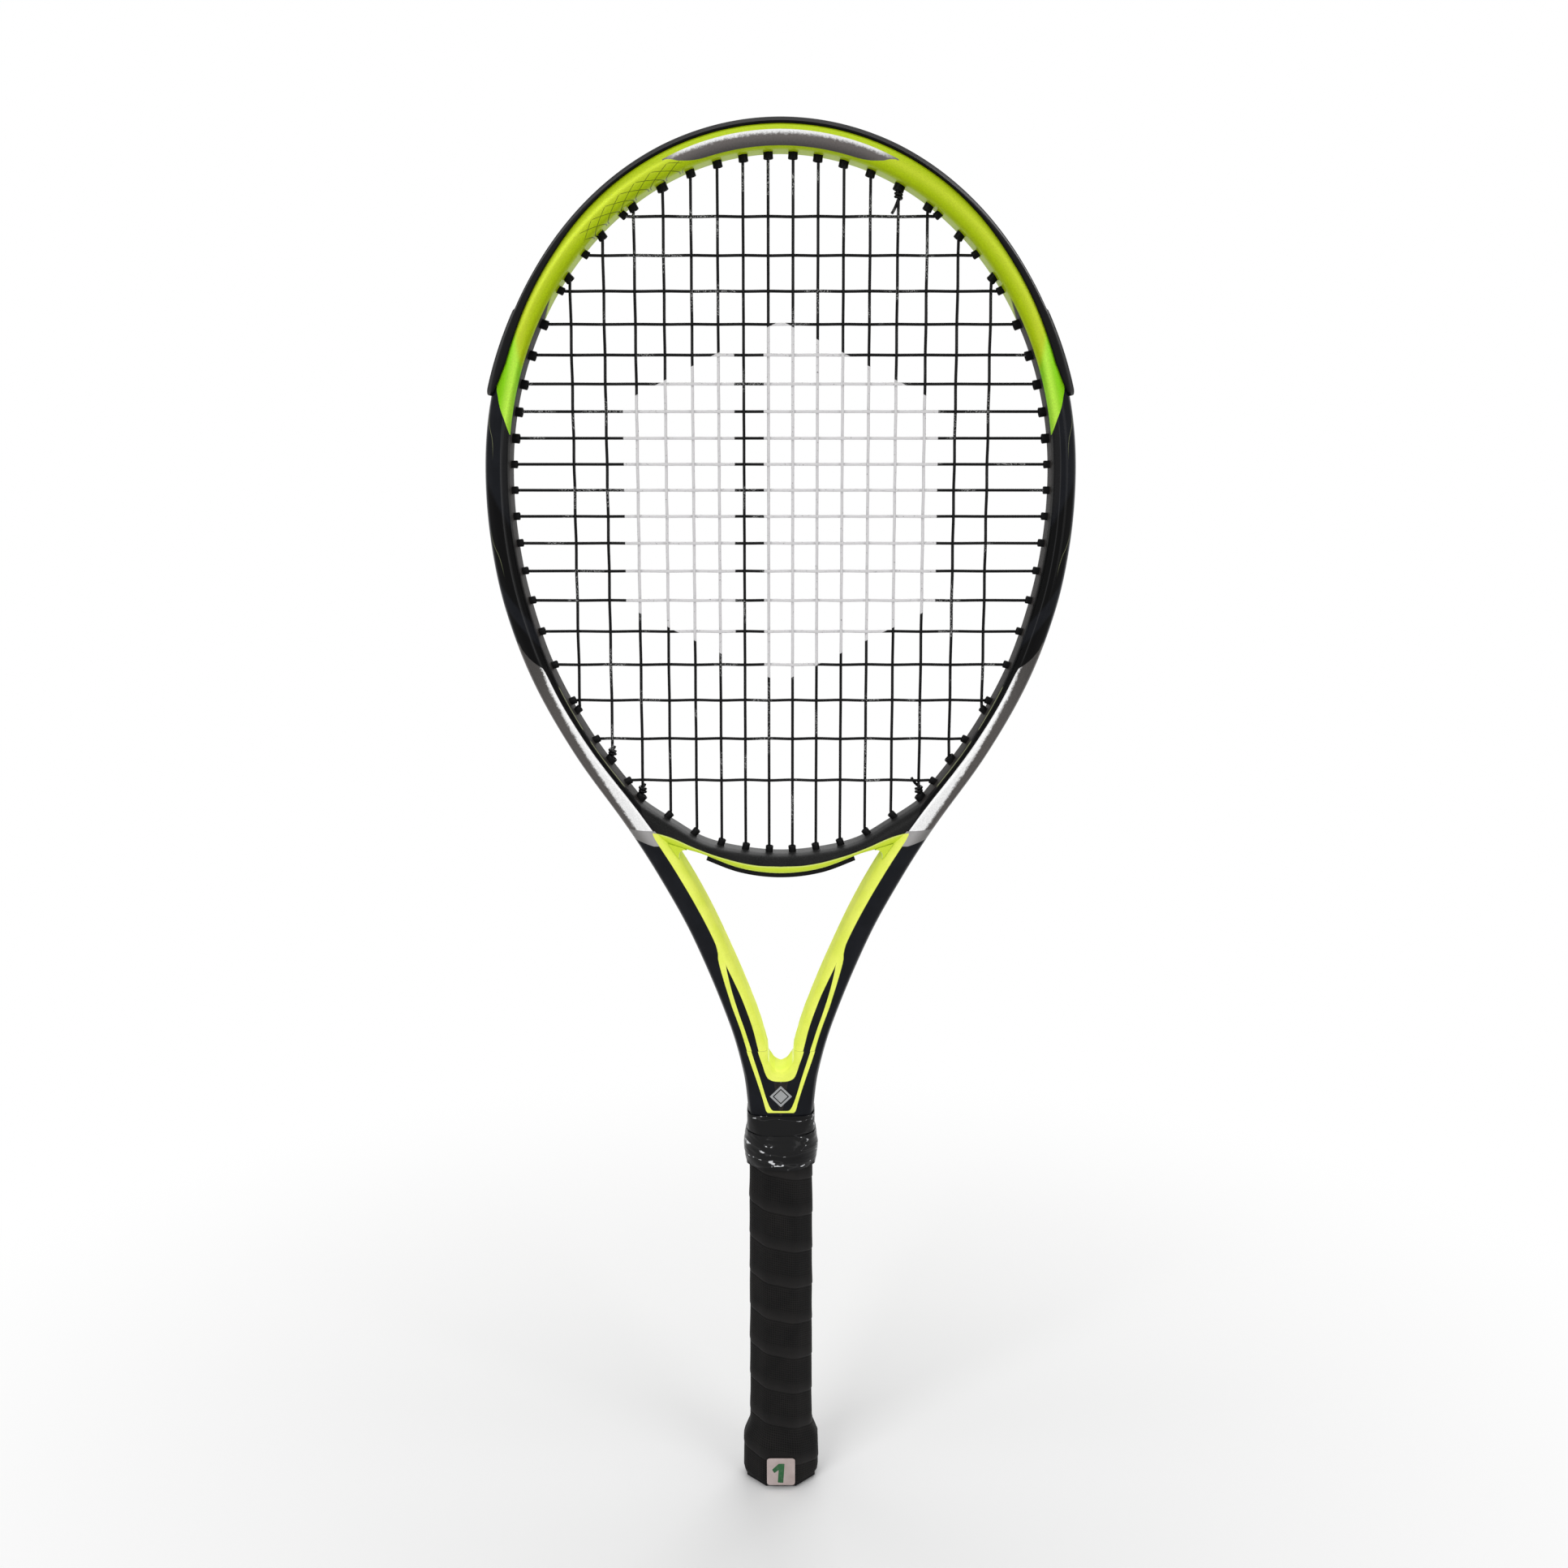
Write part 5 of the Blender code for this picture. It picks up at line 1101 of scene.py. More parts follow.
grommet_plastic = moulded_plastic("grommet_plastic", (0.0085, 0.0085, 0.009), 0.38, 0.15)
start = rim_u(BUMPER_TONGUE_Z) + GAP
split = (HOLES["bottom", 1, SHOULDER_MAINS].u + HOLES["bottom", 1, SHOULDER_MAINS + 1].u) / 2
end = HOLES["bottom", 1, BRIDGE_MAINS + 1].u + WIDE_BARREL[0]
for side, label in ((-1, "left"), (1, "right")):
    long_keys = [("cross", side, number) for number in range(WIDE_CROSSES[-1] + 1, CROSS_COUNT + 1)]
    long_keys += [("bottom", side, number) for number in range(SHOULDER_MAINS + 1, MAIN_HALF + 1)]
    short_keys = [("bottom", side, number) for number in range(BRIDGE_MAINS + 1, SHOULDER_MAINS + 1)]
    for name, low, high, keys in (("side_grommet_strip_", start, split - GAP, long_keys),
                                  ("shoulder_grommet_", split, end, short_keys)):
        run = np.linspace(low, high, int((high - low) / 0.002) + 4)
        run = run if side > 0 else RIM.length - run[::-1]
        body = run_along(name, RIM, strip_outline, run)
        short_name = name.replace("grommet_", "").replace("strip_", "")
        piece(short_name + "strip_" + label, joined(name, body, barrels(keys, grommet_plastic)),
              grommet_plastic, "grommet_plastic", name + label)

bridge_plastic = moulded_plastic("bridge_grommet_plastic", (0.0085, 0.0085, 0.009), 0.34, 0.15)
run = BRIDGE.length / 2 + np.linspace(-BRIDGE_STRIP_REACH, BRIDGE_STRIP_REACH, 60)
keys = [("bottom", side, number) for side in (-1, 1) for number in range(1, BRIDGE_MAINS + 1)]
body = run_along("bridge_strip", BRIDGE, bridge_strip_outline, run)
piece("bridge_strip", joined("bridge_strip", body, barrels(keys, bridge_plastic)),
      bridge_plastic, "bridge_grommet_plastic", "bridge_grommet_strip")
bpy.data.objects.remove(BARREL, do_unlink=True)

# Strings: two lengths of glossy black nylon, one for the mains and one for the crosses. Each loops
# outside the frame from hole to hole, is woven over and under, and is tied off with wound knots.
WEAVE_RISE = 0.00083
STRING_PITCH_OUTSIDE = 0.0060
BEND_REACH = 0.0003
BEND_CLEAR = 0.0014
STRING_LIFT = 0.00025
LANE = 0.00095
TIE_LANE = 0.0025
DRAWN_DIAMETER = 0.00145
KNOT_PITCH = 0.00145
KNOT_RADIUS = 0.00142
KNOT_RISE = 0.0013
KNOT_TURNS = 2.0
KNOT_STEPS = 16
SHORT_TAIL = (0.0010, 0.0008, 0.0012)
STRAIGHT = 0.985


def main_side(column, row):
    """Which face a main passes a cross on: -1 front, 1 rear"""
    return 1 if (column + row) % 2 else -1


def columns():
    """Every main from left to right as (side, number, x)"""
    left = [(-1, number, -MAIN_X[number - 1]) for number in range(MAIN_HALF, 0, -1)]
    return left + [(1, number, MAIN_X[number - 1]) for number in range(1, MAIN_HALF + 1)]


def run_outside(first, second, lane, first_y=None, second_y=None, last_lane=None):
    """Points of a loop along the string bed, from one hole's mouth to the next one's"""
    last_lane = lane if last_lane is None else last_lane
    path = first.path
    step = 1 if second.u > first.u else -1
    lift = STRING_DIAMETER / 2 + STRING_LIFT
    first_y = first.shift(lane) if first_y is None else first_y
    second_y = second.shift(lane) if second_y is None else second_y
    near_first, near_second = first.u + step * BEND_REACH, second.u - step * BEND_REACH
    clear_first, clear_second = first.u + step * BEND_CLEAR, second.u - step * BEND_CLEAR
    count = max(1, int(np.ceil(abs(clear_second - clear_first) / STRING_PITCH_OUTSIDE)))
    points = [first.mouth(first_y), path.place(near_first, path.bed(near_first) + lift / 2, first_y)]
    for share in np.linspace(0.0, 1.0, count + 1):
        u = clear_first + share * (clear_second - clear_first)
        points.append(path.place(u, path.bed(u) + lift, np.interp(share, [0.5, 1.0], [lane, last_lane])))
    points.append(path.place(near_second, path.bed(near_second) + lift / 2, second_y))
    points.append(second.mouth(second_y))
    return points


def knot(hole, depth_of, turn, tail):
    """Tail end wound tight round the main that shares its hole, from the tail's tip to the hole"""
    x, z = hole.entry[0], hole.entry[2]
    way = hole.inward[2]
    coil = []
    for i in range(int(KNOT_TURNS * KNOT_STEPS) + 1):
        angle = 2 * pi * i / KNOT_STEPS
        height = KNOT_RISE + KNOT_PITCH * i / KNOT_STEPS
        y = depth_of(height) + KNOT_RADIUS * cos(angle)
        coil.append(np.array([x + turn * KNOT_RADIUS * sin(angle), y, z + way * height]))
    side, depth, length = tail
    leave = np.array([side, depth, way * length])
    sag = np.array([0.0, 0.0, -0.0006])
    tip = [coil[-1] + leave * share + sag * sin(pi * share) for share in (1.0, 0.75, 0.5, 0.25)]
    return tip + coil[::-1] + [hole.lead(TIE_SHIFT)]


def lead_shift(hole):
    return -TIE_SHIFT if hole.tie() else 0.0


def woven(points):
    """Points between the crossings, so that the string swings over and under in smooth waves"""
    eased = [points[0]]
    for first, second in zip(points, points[1:]):
        for t in np.linspace(0.0, 1.0, 9)[1:]:
            spot = first + t * (second - first)
            spot[1] = first[1] + (second[1] - first[1]) * (1 - cos(pi * t)) / 2
            eased.append(spot)
    return eased


def main_points(side, number, column):
    """One main from its top hole to its bottom hole, over and under the crosses"""
    x = side * MAIN_X[number - 1]
    top, bottom = HOLES["top", side, number], HOLES["bottom", side, number]
    crossings = [np.array([x, main_side(column, row) * WEAVE_RISE, z]) for row, z in enumerate(CROSS_Z)
                 if bottom.entry[2] < z < top.entry[2]]
    return woven([top.lead(lead_shift(top))] + crossings + [bottom.lead(lead_shift(bottom))])


def main_depth(kind, side, number):
    """Depth y of a main near its hole, as a function of the distance from the hole"""
    hole = HOLES[kind, side, number]
    column = MAIN_HALF - number if side < 0 else MAIN_HALF + number - 1
    ahead = [((z - hole.entry[2]) * hole.inward[2], row) for row, z in enumerate(CROSS_Z)]
    distance, row = min(item for item in ahead if item[0] > 0)
    end_y = main_side(column, row) * WEAVE_RISE
    return lambda height: float(np.interp(height, [STRING_LEAD, distance], [lead_shift(hole), end_y]))


def main_route():
    """All the mains as one string, each end tied to a main that shares its hole"""
    order = columns()
    near, far = MAIN_HALF - 1, MAIN_HALF - 2
    left_end, left_tie = HOLES["bottom", -1, MAIN_HALF], HOLES["bottom", -1, near]
    right_end, right_tie = HOLES["bottom", 1, MAIN_HALF], HOLES["bottom", 1, far]
    route = knot(left_tie, main_depth("bottom", -1, near), 1, SHORT_TAIL)
    route += run_outside(left_end, left_tie, -LANE, second_y=TIE_SHIFT, last_lane=TIE_SHIFT)[::-1]
    for column, (side, number, x) in enumerate(order):
        upward = (number % 2 == 0) == (side < 0)
        points = main_points(side, number, column)
        route += points[::-1] if upward else points
        if column + 1 < len(order):
            kind = "top" if upward else "bottom"
            next_side, next_number = order[column + 1][:2]
            route += run_outside(HOLES[kind, side, number], HOLES[kind, next_side, next_number], -LANE)
    route += run_outside(right_end, right_tie, TIE_LANE, -HOLE_SHIFT, TIE_SHIFT)
    return route + knot(right_tie, main_depth("bottom", 1, far), -1, (-0.0036, -0.0016, 0.0044))[::-1]


def cross_route():
    """All the crosses as one string, from a knot at the top right to one at the lower left"""
    order = columns()
    start, end = HOLES["top", 1, SHOULDER_MAINS], HOLES["bottom", -1, MAIN_HALF - 2]
    route = knot(start, main_depth("top", 1, SHOULDER_MAINS), -1, (-0.0030, -0.0016, 0.0064))
    route += run_outside(start, HOLES["cross", 1, 1], LANE)
    for row, z in enumerate(CROSS_Z):
        right, left = HOLES["cross", 1, row + 1], HOLES["cross", -1, row + 1]
        crossings = [np.array([x, -main_side(column, row) * WEAVE_RISE, z])
                     for column, (side, number, x) in enumerate(order) if abs(x) < right.entry[0]]
        line = woven([left.lead()] + crossings + [right.lead()])
        leftward = row % 2 == 0
        route += line[::-1] if leftward else line
        side = -1 if leftward else 1
        if row + 1 < CROSS_COUNT:
            route += run_outside(HOLES["cross", side, row + 1], HOLES["cross", side, row + 2], LANE)
    route += run_outside(HOLES["cross", -1, CROSS_COUNT], end, LANE)
    return route + knot(end, main_depth("bottom", -1, MAIN_HALF - 2), 1, SHORT_TAIL)[::-1]


def eased_corners(route, reach=0.0007):
    """The route with each sharp turn drawn as a short curve"""
    points = [route[0]]
    for before, corner, after in zip(route, route[1:], route[2:]):
        back, ahead = before - corner, after - corner
        lengths = np.linalg.norm(back), np.linalg.norm(ahead)
        if min(lengths) < 1e-6:
            continue
        if back @ ahead / (lengths[0] * lengths[1]) < -STRAIGHT:
            points.append(corner)
            continue
        start = corner + back * min(0.45, reach / lengths[0])
        end = corner + ahead * min(0.45, reach / lengths[1])
        for t in (0.0, 0.25, 0.5, 0.75, 1.0):
            points.append((1 - t) ** 2 * start + 2 * t * (1 - t) * corner + t * t * end)
    return points + [route[-1]]


def string_tree():
    """Geometry nodes: round string drawn along a line, marked with the distance along it"""
    inputs = {"Line": 'Geometry', "Diameter": 'Float', "String": 'Material'}
    tree, given, made = effect("string_along_line", inputs, {"Tube": 'Geometry'}, 'GeometryNodeTree')
    curve = add(tree, "GeometryNodeMeshToCurve", {"Mesh": given["Line"]})
    length = add(tree, "GeometryNodeSplineParameter", output="Length")
    marks = {"Geometry": curve, "Name": "along", "Value": length}
    marked = add(tree, "GeometryNodeStoreNamedAttribute", marks, data_type='FLOAT', domain='POINT')
    radius = given["Diameter"] * 0.5
    ring = add(tree, "GeometryNodeCurvePrimitiveCircle", {"Resolution": 10, "Radius": radius})
    tube = add(tree, "GeometryNodeCurveToMesh", {"Curve": marked, "Profile Curve": ring, "Fill Caps": True})
    smooth = add(tree, "GeometryNodeSetShadeSmooth", {"Geometry": tube})
    feed(made["Tube"], painted(smooth, given["String"]))
    return tree


def string_gloss():
    """Shader group: stencil ink on the string bed, and glints painted on short spans of the string"""
    group, given, made = effect("string_gloss", {"Where": 'Vector', "Along": 'Float'}, SURFACE)
    where = given["Where"]
    x, y, z = where.parts()
    slope = abs(x) * 0.50 + abs(z - 0.5140)
    flecks = where.noise(1500.0, 2.0)
    ink = slope.within(0.0862, 0.0858) & abs(x).within(0.0752, 0.0748) & flecks.within(0.26, 0.34)
    ink &= abs(x + 0.0150).within(0.0068, 0.0072)
    # Painted glints: small pale, smoother spots along the black string.
    painted_glint = where.noise(55.0, 0.0).within(0.60, 0.64) & where.noise(1700.0, 1.0).within(0.52, 0.60) & ~ink
    base = (painted_glint * 0.55).blend((0.0045, 0.0045, 0.005), (0.42, 0.42, 0.42))
    feed(made["Colour"], ink.blend(base, (0.68, 0.67, 0.68)))
    feed(made["Roughness"], ink.blend(painted_glint.blend(0.24, 0.12), 0.5))
    feed(made["Height"], (given["Along"] * 5200.0).math('SINE') * 0.2 + flecks)
    return group


def string_finish(name):
    material, where = finish(name, Specular_IOR_Level=0.10)
    colour, rough, height = through(STRING_GLOSS, where, Along=attribute(material, "along", "Fac"))
    return coat(material, Base_Color=colour, Roughness=rough, Normal=height.bump(0.10, 0.0002))


def line_mesh(points):
    mesh = bpy.data.meshes.new("line")
    mesh.from_pydata([point.tolist() for point in points], [(i, i + 1) for i in range(len(points) - 1)], [])
    return mesh


STRING_GLOSS = string_gloss()
STRING_TREE = string_tree()
for name, node, route in (("mains", "main_string", main_route), ("crosses", "cross_string", cross_route)):
    black = string_finish(node + "_black")
    line = line_mesh(eased_corners(route()))
    tube = grown_mesh(name, line, STRING_TREE, Diameter=DRAWN_DIAMETER, String=black)
    piece(name, tube, black, node + "_black", node)

# Handle: foam moulded round the legs to an eight-sided grip shape, closed by a flared nylon cap that
# two steel staples hold. All of it lies under the wound grip, but for the cap's end.
PALLET_WIDTH = 0.0292
PALLET_DEPTH = 0.0262
PALLET_CHAMFER = 0.0080
CAP_WIDTH = 0.0362
CAP_DEPTH = 0.0298
CAP_CHAMFER = 0.0098
CAP_SHOULDER_Z = 0.0240
CAP_TOP_Z = 0.0290
CAP_SKIRT = 0.0006
PALLET = (PALLET_WIDTH, PALLET_DEPTH, PALLET_CHAMFER)
CAP = (CAP_WIDTH, CAP_DEPTH, CAP_CHAMFER)


def keep(node, material):
    """A CAD node that shows as it is, with its own finish"""
    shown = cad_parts[node]
    if shown.data.materials:
        shown.data.materials[0] = material
    else:
        shown.data.materials.append(material)


keep("handle_pallet", moulded_plastic("handle_foam", (0.030, 0.030, 0.032), 0.70, 0.20, 500.0))
keep("butt_cap", moulded_plastic("cap_plastic", (0.012, 0.012, 0.013), 0.45, 0.20))
steel, where = finish("staple_steel", Metallic=1.0)
colour, rough, height = handled(where, (0.50, 0.50, 0.52), 0.28, 0.04, 0.3)
coat(steel, Base_Color=colour, Roughness=rough, Normal=height.bump(0.2, 0.0002))
for node in ("butt_staple_left", "butt_staple_right"):
    keep(node, steel)

# Grip: a cushioned synthetic leather band, perforated in rows, wound up the handle from the butt.
# Each turn laps over the one below and leaves a low spiral seam.
GRIP_THICKNESS = 0.0015
GRIP_BOTTOM_Z = 0.0022
GRIP_STEP = 0.0012
SEAM_PITCH = 0.0200
SEAM_RISE = 0.0003
GRIP_SIDES = 96
GRIP_GIRTH = 0.115
GRIP_INSET = 0.0002
GRIP_SLUMP = 0.000105
GRIP_TURN = 0.6
GRIP_LEVELS = (GRIP_BOTTOM_Z, CAP_SHOULDER_Z - 0.001, CAP_TOP_Z + GAP, CAP_TOP_Z + 2 * GRIP_STEP)
EDGE_ROUND = 0.0026
CHAMFER_GROWTH = 0.586


def grown(section, by):
    """A section moved out by a distance all round"""
    width, depth, chamfer = section
    return width + 2 * by, depth + 2 * by, chamfer + CHAMFER_GROWTH * by


def handle_outline(width, depth, chamfer, soft):
    """Eight-sided section with rounded edges, sampled at even angles, clockwise from above"""
    x, y, c = width / 2, depth / 2, chamfer
    corners = [(x, -y + c), (x - c, -y), (-x + c, -y), (-x, -y + c), (-x, y - c), (-x + c, y), (x - c, y),
               (x, y - c)]
    outline = rounded(corners, [soft] * 8, 6)
    ahead = np.roll(outline, -1, axis=0)
    shares = np.linspace(0, 1, 16, endpoint=False)
    dense = np.concatenate([outline + (ahead - outline) * share for share in shares])
    angles = np.mod(np.arctan2(dense[:, 1], dense[:, 0]), 2 * pi)
    order = np.argsort(angles)
    wanted = -2 * pi * np.arange(GRIP_SIDES) / GRIP_SIDES - GRIP_TURN
    radii = np.hypot(dense[:, 0], dense[:, 1])
    reach = np.interp(np.mod(wanted, 2 * pi), angles[order], radii[order], period=2 * pi)
    return np.stack([reach * np.cos(wanted), reach * np.sin(wanted)], axis=1)


def under_grip(z):
    """Section that the grip is wound on: the cap, then the bare handle"""
    sections = [CAP, CAP, grown(PALLET, GAP + CAP_SKIRT), PALLET]
    return tuple(float(np.interp(z, GRIP_LEVELS, values)) for values in zip(*sections))


def at_height(outline, z):
    return [(x, y, z) for x, y in outline]


def grip_mesh():
    """The band climbs one pitch a turn, its lower edge over the turn below, and is trimmed at both ends"""
    climbs = [(0.0, -0.25), (0.012, 0.55), (0.035, 0.95), (0.06, 1.0), (0.16, 0.80), (0.33, 0.55),
              (0.50, 0.40), (0.66, 0.30), (0.82, 0.22), (0.95, 0.10)]
    inset = [(0.0, -0.0014), (0.0006, -0.0009), (0.0016, -0.0004), (0.0034, 0.0)]
    shape = bmesh.new()
    band = shape.verts.layers.float_vector.new("band_place")
    turns = int((GRIP_TOP_Z - GRIP_BOTTOM_Z) / SEAM_PITCH) + 4
    sections, made = {}, {}

    def outline(z):
        key = round(z, 5)
        if key not in sections:
            inward = np.interp(z - GRIP_BOTTOM_Z, *zip(*inset))
            slump = GRIP_SLUMP * sin(z * 210.0) * sin(z * 47.0)
            out = GAP + GRIP_THICKNESS + float(inward) + slump - GRIP_INSET
            sections[key] = handle_outline(*grown(under_grip(z), out), EDGE_ROUND + 0.0008)
        return sections[key]

    def corner(step, level):
        if level == len(climbs):
            step, level = step + GRIP_SIDES, 0
        if (step, level) not in made:
            climb, share = climbs[level]
            z = GRIP_BOTTOM_Z + SEAM_PITCH * (step / GRIP_SIDES - 1.5 + climb)
            rise = SEAM_RISE * share if GRIP_BOTTOM_Z < z < GRIP_TOP_Z else 0.0
            z = min(max(z, GRIP_BOTTOM_Z), GRIP_TOP_Z)
            x, y = outline(z)[step % GRIP_SIDES]
            out = 1 + rise / np.hypot(x, y)
            vertex = shape.verts.new((x * out, y * out, z))
            vertex[band] = (step / GRIP_SIDES * GRIP_GIRTH, climb * SEAM_PITCH, share)
            made[step, level] = vertex
        return made[step, level]

    for step in range(GRIP_SIDES * turns):
        for level in range(len(climbs)):
            spots = ((step, level), (step, level + 1), (step + 1, level + 1), (step + 1, level))
            quad = [corner(*spot) for spot in spots]
            heights = [vertex.co.z for vertex in quad]
            if max(heights) - min(heights) > 1e-6:
                shape.faces.new(quad)
    levels = (*GRIP_LEVELS, GRIP_TOP_Z)
    inner = [at_height(handle_outline(*grown(under_grip(z), GAP), EDGE_ROUND), z) for z in levels]
    bottom, top = [at_height(outline(z), z) for z in (GRIP_BOTTOM_Z, GRIP_TOP_Z)]
    walls(shape, [bottom, *inner, top])
    return closed("grip", shape, 0.9, 2e-6)


def grip_leather():
    """Dull black synthetic leather with rows of pinholes and a smoother, paler lap at each seam"""
    material, where = finish("grip_black", Specular_IOR_Level=0.06)
    along, across, share = [mark * 1000.0 for mark in attribute(material, "band_place", "Vector").parts()]
    row_x, row_y = (along / 1.35).math('FRACT') - 0.5, (across / 1.25).math('FRACT') - 0.5
    apart = (row_x * row_x + row_y * row_y).math('SQRT')
    pores = apart.within(0.38, 0.22) & across.within(5.4, 6.0) & across.within(18.6, 18.0)
    tone = where.noise(70.0, 4.0).within(0.3, 0.75).blend((0.0105, 0.0103, 0.0103), (0.0165, 0.0155, 0.0150))
    colour, rough, height = handled(where, tone, 0.62, 0.05, 0.12, 1900.0)
    lap = across.within(5.2, 0.0)
    colour = (lap * 0.30).blend(colour, (0.030, 0.028, 0.028))
    height = where.noise(1100.0, 4.0, 0.6) * 0.25 - pores
    # The pinholes are painted near black, darker than the leather, as painted shade inside each hole.
    return coat(material, Base_Color=(pores * 0.8).blend(colour, (0.0018, 0.0018, 0.0018)),
                Roughness=lap.blend(rough, 0.50), Normal=height.bump(0.6, 0.0002))


piece("grip", grip_mesh(), grip_leather(), "grip_black", "base_grip")

# Finishing tape and collar: glossy tape closes the top of the grip on the shaft, and a stretchy sleeve
# bulges over it. A clear shrink film still lies round both, creased into small folds.
TAPE_THICKNESS = 0.0004
TAPE_BOTTOM_Z = GRIP_TOP_Z - 0.0040
TAPE_TOP_Z = SHAFT_END_Z + 0.0025
TAPE_CHAMFER = 0.0042
COLLAR_THICKNESS = 0.0015
COLLAR_LIP = 0.0003
COLLAR_BOTTOM_Z = GRIP_TOP_Z - 0.0105
COLLAR_TOP_Z = GRIP_TOP_Z + 0.0075


def tape_section(z):
    """Inside of the finishing tape: round the grip, then drawn in on the shaft"""
    around_grip = grown(PALLET, GAP + GRIP_THICKNESS + SEAM_RISE + GAP)
    around_shaft = (SHAFT_WIDTH + 2 * GAP, SHAFT_DEPTH + 2 * GAP, TAPE_CHAMFER)
    levels = [GRIP_TOP_Z + GAP, SHAFT_END_Z]
    return tuple(float(np.interp(z, levels, pair)) for pair in zip(around_grip, around_shaft))


def creased_sleeve(name, levels, inside, thickness, folds, soft):
    """Sleeve whose outer face is drawn in by slanting folds of different depth"""
    rings = []
    for z in levels:
        ring = handle_outline(*grown(inside(z), thickness(z)), soft)
        for i, (x, y) in enumerate(ring):
            spot = Vector((x * 60, y * 60, z * 230 + x * 70))
            fine = noise.noise(spot * 2.7 + Vector((7.0, 1.0, 3.0)))
            fold = max(noise.noise(spot * 1.4), 0.0) + 0.6 * abs(fine)
            ring[i] *= 1 - folds * fold / np.hypot(x, y)
        rings.append(at_height(ring, z))
    rings += [at_height(handle_outline(*inside(z), EDGE_ROUND), z) for z in levels[::-1]]
    return skin(name, rings, loop=True)


def creased_film(name, colour, roughness, strength):
    """Black under clear film: slanting creases, their ridges painted a little lighter as sheen and dotted
    with small painted glints
    """
    material, where = finish(name, Coat_Roughness=0.05, Coat_IOR=1.3, Specular_IOR_Level=0.08)
    turned = where.add("ShaderNodeMapping", {"Vector": where, "Rotation": (0.0, -0.36, 0.0),
                                             "Scale": (45.0, 45.0, 190.0)})
    creases = turned.noise(1.0, 1.5, 0.5)
    ridge = abs(creases - 0.52).within(0.020, 0.004)
    painted_glint_spots = where.noise(330.0, 1.0).within(0.590, 0.640)
    colour, rough, height = handled(where, colour, roughness, 0.02, 0.05)
    # Painted sheen along the crease ridges, and painted glints where the spots meet them.
    tone = (ridge * 0.10).blend(colour, (0.16, 0.16, 0.165))
    height = creases * 2.0 + where.noise(900.0, 3.0) * 0.05
    return coat(material, Base_Color=(ridge & painted_glint_spots).blend(tone, (0.70, 0.71, 0.73)), Roughness=rough,
                Coat_Weight=creases.within(0.2, 0.6) * 0.25, Normal=height.bump(strength, 0.0005))


def collar_inside(z):
    return grown(tape_section(z), TAPE_THICKNESS + GAP)


def collar_bulge(z):
    share = (z - COLLAR_BOTTOM_Z) / (COLLAR_TOP_Z - COLLAR_BOTTOM_Z)
    return COLLAR_LIP + (COLLAR_THICKNESS - COLLAR_LIP) * sin(pi * min(max(share, 0.0), 1.0))


levels = list(np.linspace(TAPE_BOTTOM_Z, TAPE_TOP_Z, 46))
piece("tape", creased_sleeve("tape", levels, tape_section, lambda z: TAPE_THICKNESS, 0.00016, 0.0034),
      creased_film("tape_gloss", (0.0065, 0.0065, 0.007), 0.20, 0.7), "tape_gloss", "finishing_tape")
levels = list(np.linspace(COLLAR_BOTTOM_Z, COLLAR_TOP_Z, 44))
piece("collar", creased_sleeve("collar", levels, collar_inside, collar_bulge, 0.00045, 0.0080),
      creased_film("collar_rubber", (0.0075, 0.0075, 0.008), 0.28, 0.9), "collar_rubber", "grip_collar")

# Size sticker: a small paper label with round corners on the front of the butt, printed with the
# grip size in plain green.
STICKER_WIDTH = 0.0148
STICKER_HEIGHT = 0.0155
STICKER_THICKNESS = 0.0004
STICKER_Z = 0.0105
STICKER_CORNER = 0.0018
STICKER_FACE = CAP_DEPTH / 2 + GAP + GRIP_THICKNESS + SEAM_RISE + GAP
DIGIT = [(-4.7, 1.3), (-1.2, 4.8), (1.9, 4.8), (1.2, -6.4), (-1.7, -6.2), (-1.2, 1.2), (-3.5, -0.7)]


def label(name, outlines, corner, pieces):
    """Thin plate from outlines given as (y, corners), back to front"""
    return skin(name, [[(x, y, STICKER_Z + z) for x, z in rounded(corners, [corner] * len(corners), pieces)]
                       for y, corners in outlines])


def sticker_corners(inset):
    half_x, half_z = STICKER_WIDTH / 2 - inset, STICKER_HEIGHT / 2 - inset
    return [(half_x, half_z), (-half_x, half_z), (-half_x, -half_z), (half_x, -half_z)]


def printed_paper(name, first, second, roughness):
    """Satin paper, a little soiled, in one printed colour"""
    material, where = finish(name, Specular_IOR_Level=0.4)
    fibre, stain = where.noise(700.0, 4.0), where.noise(120.0, 3.0)
    tone = stain.within(0.35, 0.75).blend(first, second)
    tone = (fibre.within(0.5, 0.7) * 0.12).blend(tone, (0.30, 0.26, 0.25))
    return coat(material, Base_Color=tone, Roughness=stain.blend(roughness, roughness + 0.18),
                Normal=fibre.bump(0.08, 0.0002))


layers = [(0.0, 0.0), (0.7, 0.0), (0.9, 0.0003)]
paper = label("sticker", [(-STICKER_FACE - share * STICKER_THICKNESS, sticker_corners(inset))
                          for share, inset in layers], STICKER_CORNER, 8)
digit = [(x / 1000, z / 1000) for x, z in DIGIT]
print_layer = label("digit", [(-STICKER_FACE - 0.8 * STICKER_THICKNESS, digit),
                              (-STICKER_FACE - STICKER_THICKNESS, digit)], 0.0004, 3)
piece("sticker", paper, printed_paper("sticker_white", (0.50, 0.415, 0.40), (0.41, 0.33, 0.31), 0.32),
      "sticker_white", "size_sticker")
number = placed("size_number", print_layer)
green = printed_paper("number_green", (0.013, 0.095, 0.028), (0.018, 0.120, 0.036), 0.35)
print_layer.materials.append(green)
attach(number, "root")

# Studio: a pale floor that keeps the racket's shadow and fades to plain white, four soft lamps and a
# white sky. The camera stands where the photograph was taken from.


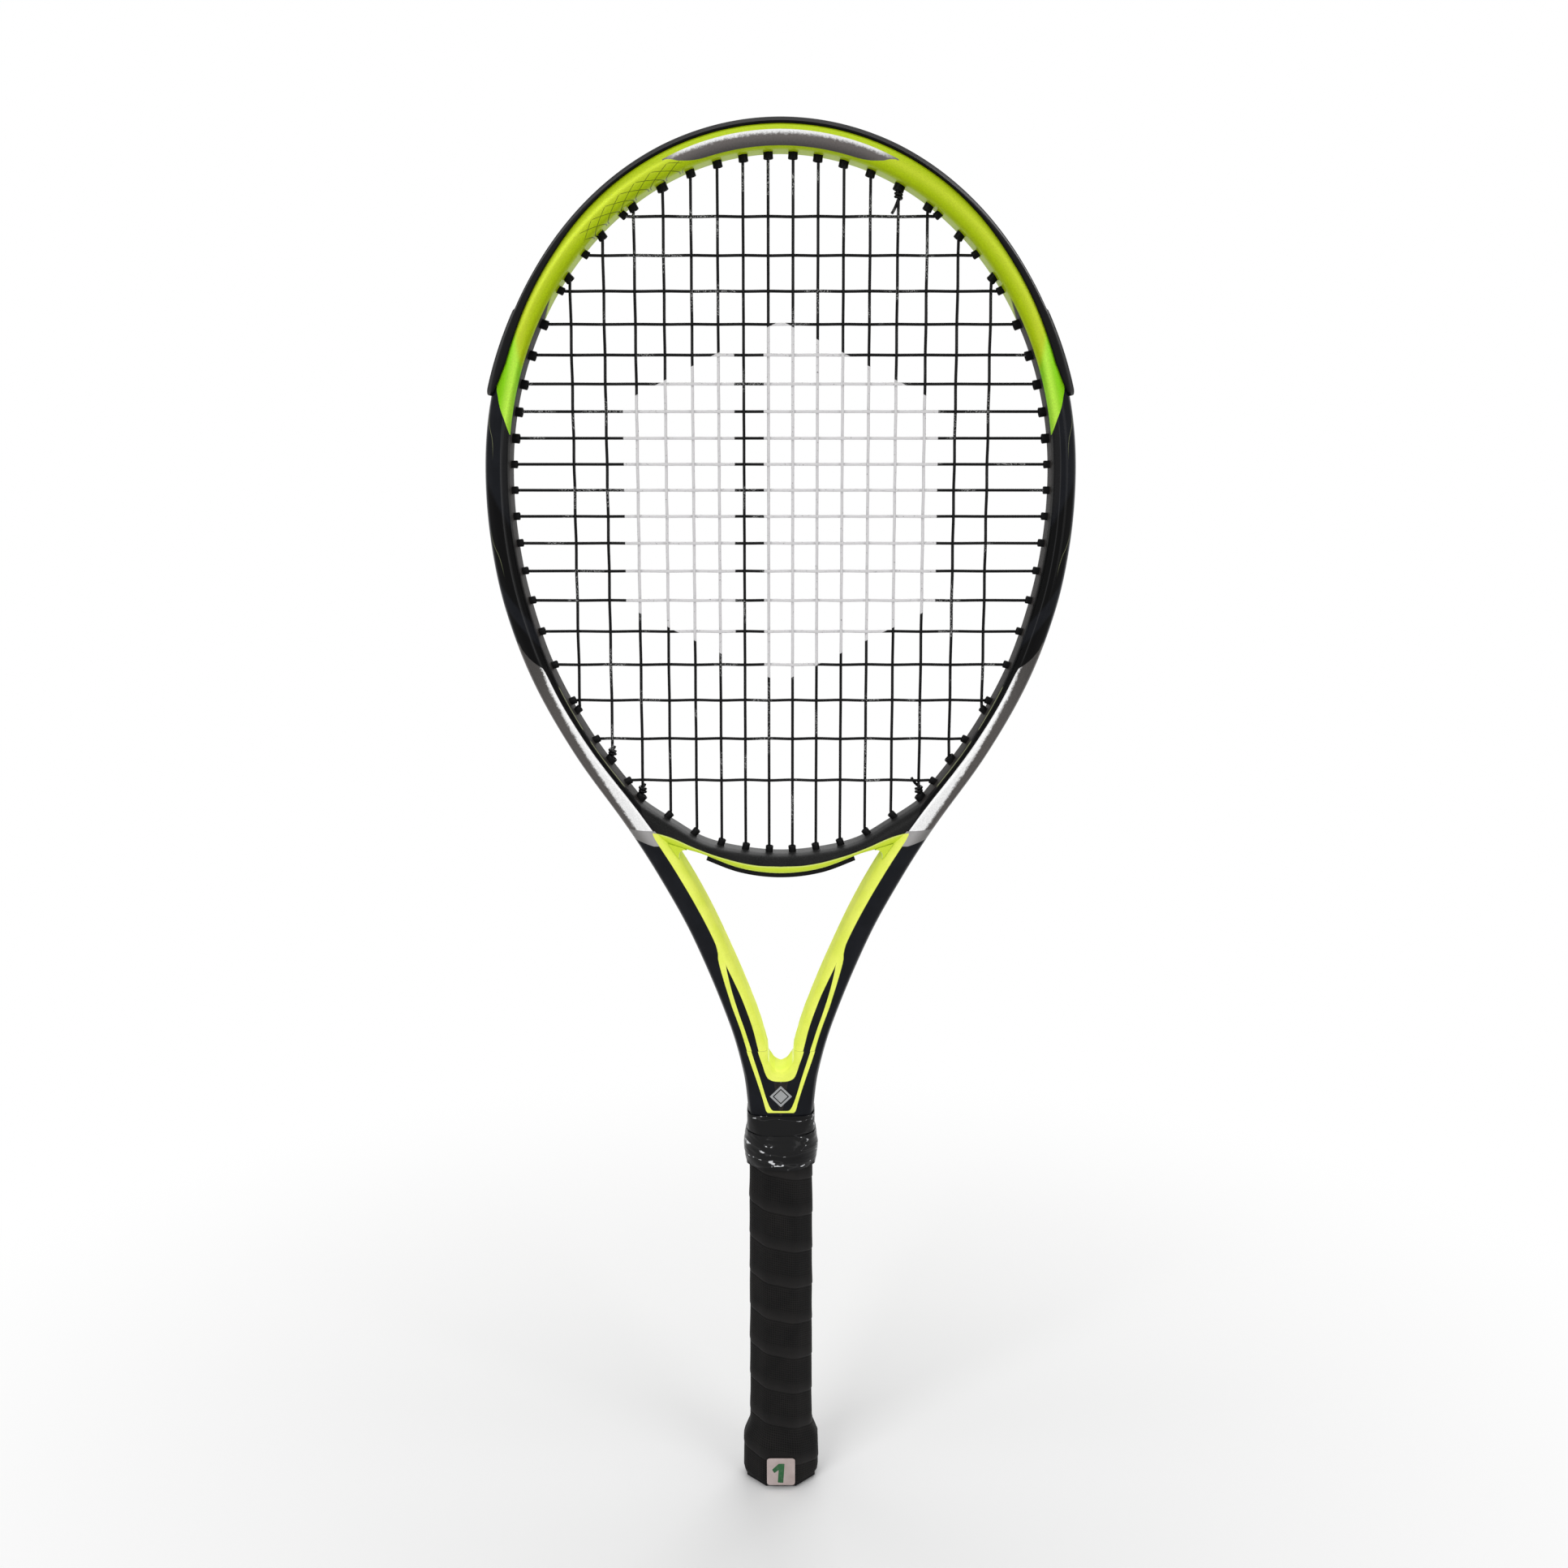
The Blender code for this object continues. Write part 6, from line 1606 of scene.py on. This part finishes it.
def seen_by(tree, *kinds):
    """1 for the camera's rays and for those of these kinds"""
    path = tree.nodes.new("ShaderNodeLightPath").outputs
    seen = Signal(path["Is Camera Ray"])
    for kind in kinds:
        seen |= Signal(path["Is " + kind + " Ray"])
    return seen


def studio_floor():
    mesh = bpy.data.meshes.new("floor")
    mesh.from_pydata([(-8, -8, 0), (8, -8, 0), (8, 8, 0), (-8, 8, 0)], [], [(0, 1, 2, 3)])
    floor = placed("floor", mesh)
    material = bpy.data.materials.new("floor_white")
    material.use_nodes = True
    tree = material.node_tree
    tree.nodes.clear()
    where = add(tree, "ShaderNodeTexCoord", output="Object")
    reach = where.add("ShaderNodeVectorMath", {"Vector": where}, "Value", operation='LENGTH')
    far = reach.within(0.12, 0.62) & seen_by(tree, "Glossy")
    pale = add(tree, "ShaderNodeBsdfDiffuse", {"Color": (0.94, 0.94, 0.94)})
    white = add(tree, "ShaderNodeEmission", {"Color": (1.0, 1.0, 1.0), "Strength": 1.0})
    surface = tree.nodes.new("ShaderNodeOutputMaterial").inputs["Surface"]
    feed(surface, add(tree, "ShaderNodeMixShader", {0: far, 1: pale, 2: white}))
    mesh.materials.append(material)


def lamp(name, place, aim, size, power):
    data = bpy.data.lights.new(name, 'AREA')
    data.shape = 'RECTANGLE'
    data.size, data.size_y = size
    data.energy = power
    made = placed(name, data)
    made.location = place
    made.rotation_euler = (Vector(aim) - Vector(place)).to_track_quat('-Z', 'Y').to_euler()


studio_floor()
lamp("key", (-1.1, -1.7, 1.6), (0, 0, 0.45), (1.2, 1.2), 20)
lamp("fill", (1.4, -1.5, 0.9), (0, 0, 0.4), (1.0, 1.6), 11)
lamp("top", (0.0, 0.2, 2.1), (0, 0, 0.4), (1.6, 1.2), 14)
lamp("back", (0.4, 1.8, 1.3), (0, 0, 0.4), (1.6, 1.2), 14)

scene = bpy.context.scene
scene.world = bpy.data.worlds.new("studio_world")
scene.world.use_nodes = True
background = scene.world.node_tree.nodes["Background"].inputs
feed(background["Color"], (1.0, 1.0, 1.0))
feed(background["Strength"], seen_by(scene.world.node_tree, "Glossy", "Transmission").blend(0.30, 1.0))

scene.view_settings.view_transform = 'Standard'
camera_data = bpy.data.cameras.new("camera")
camera_data.sensor_width = 36.0
camera_data.lens = 39.39
camera = placed("camera", camera_data)
camera.location = (0.0016, -0.8351, 0.544)
camera.rotation_euler = (np.radians(78.72), 0.0, 0.0)
scene.camera = camera
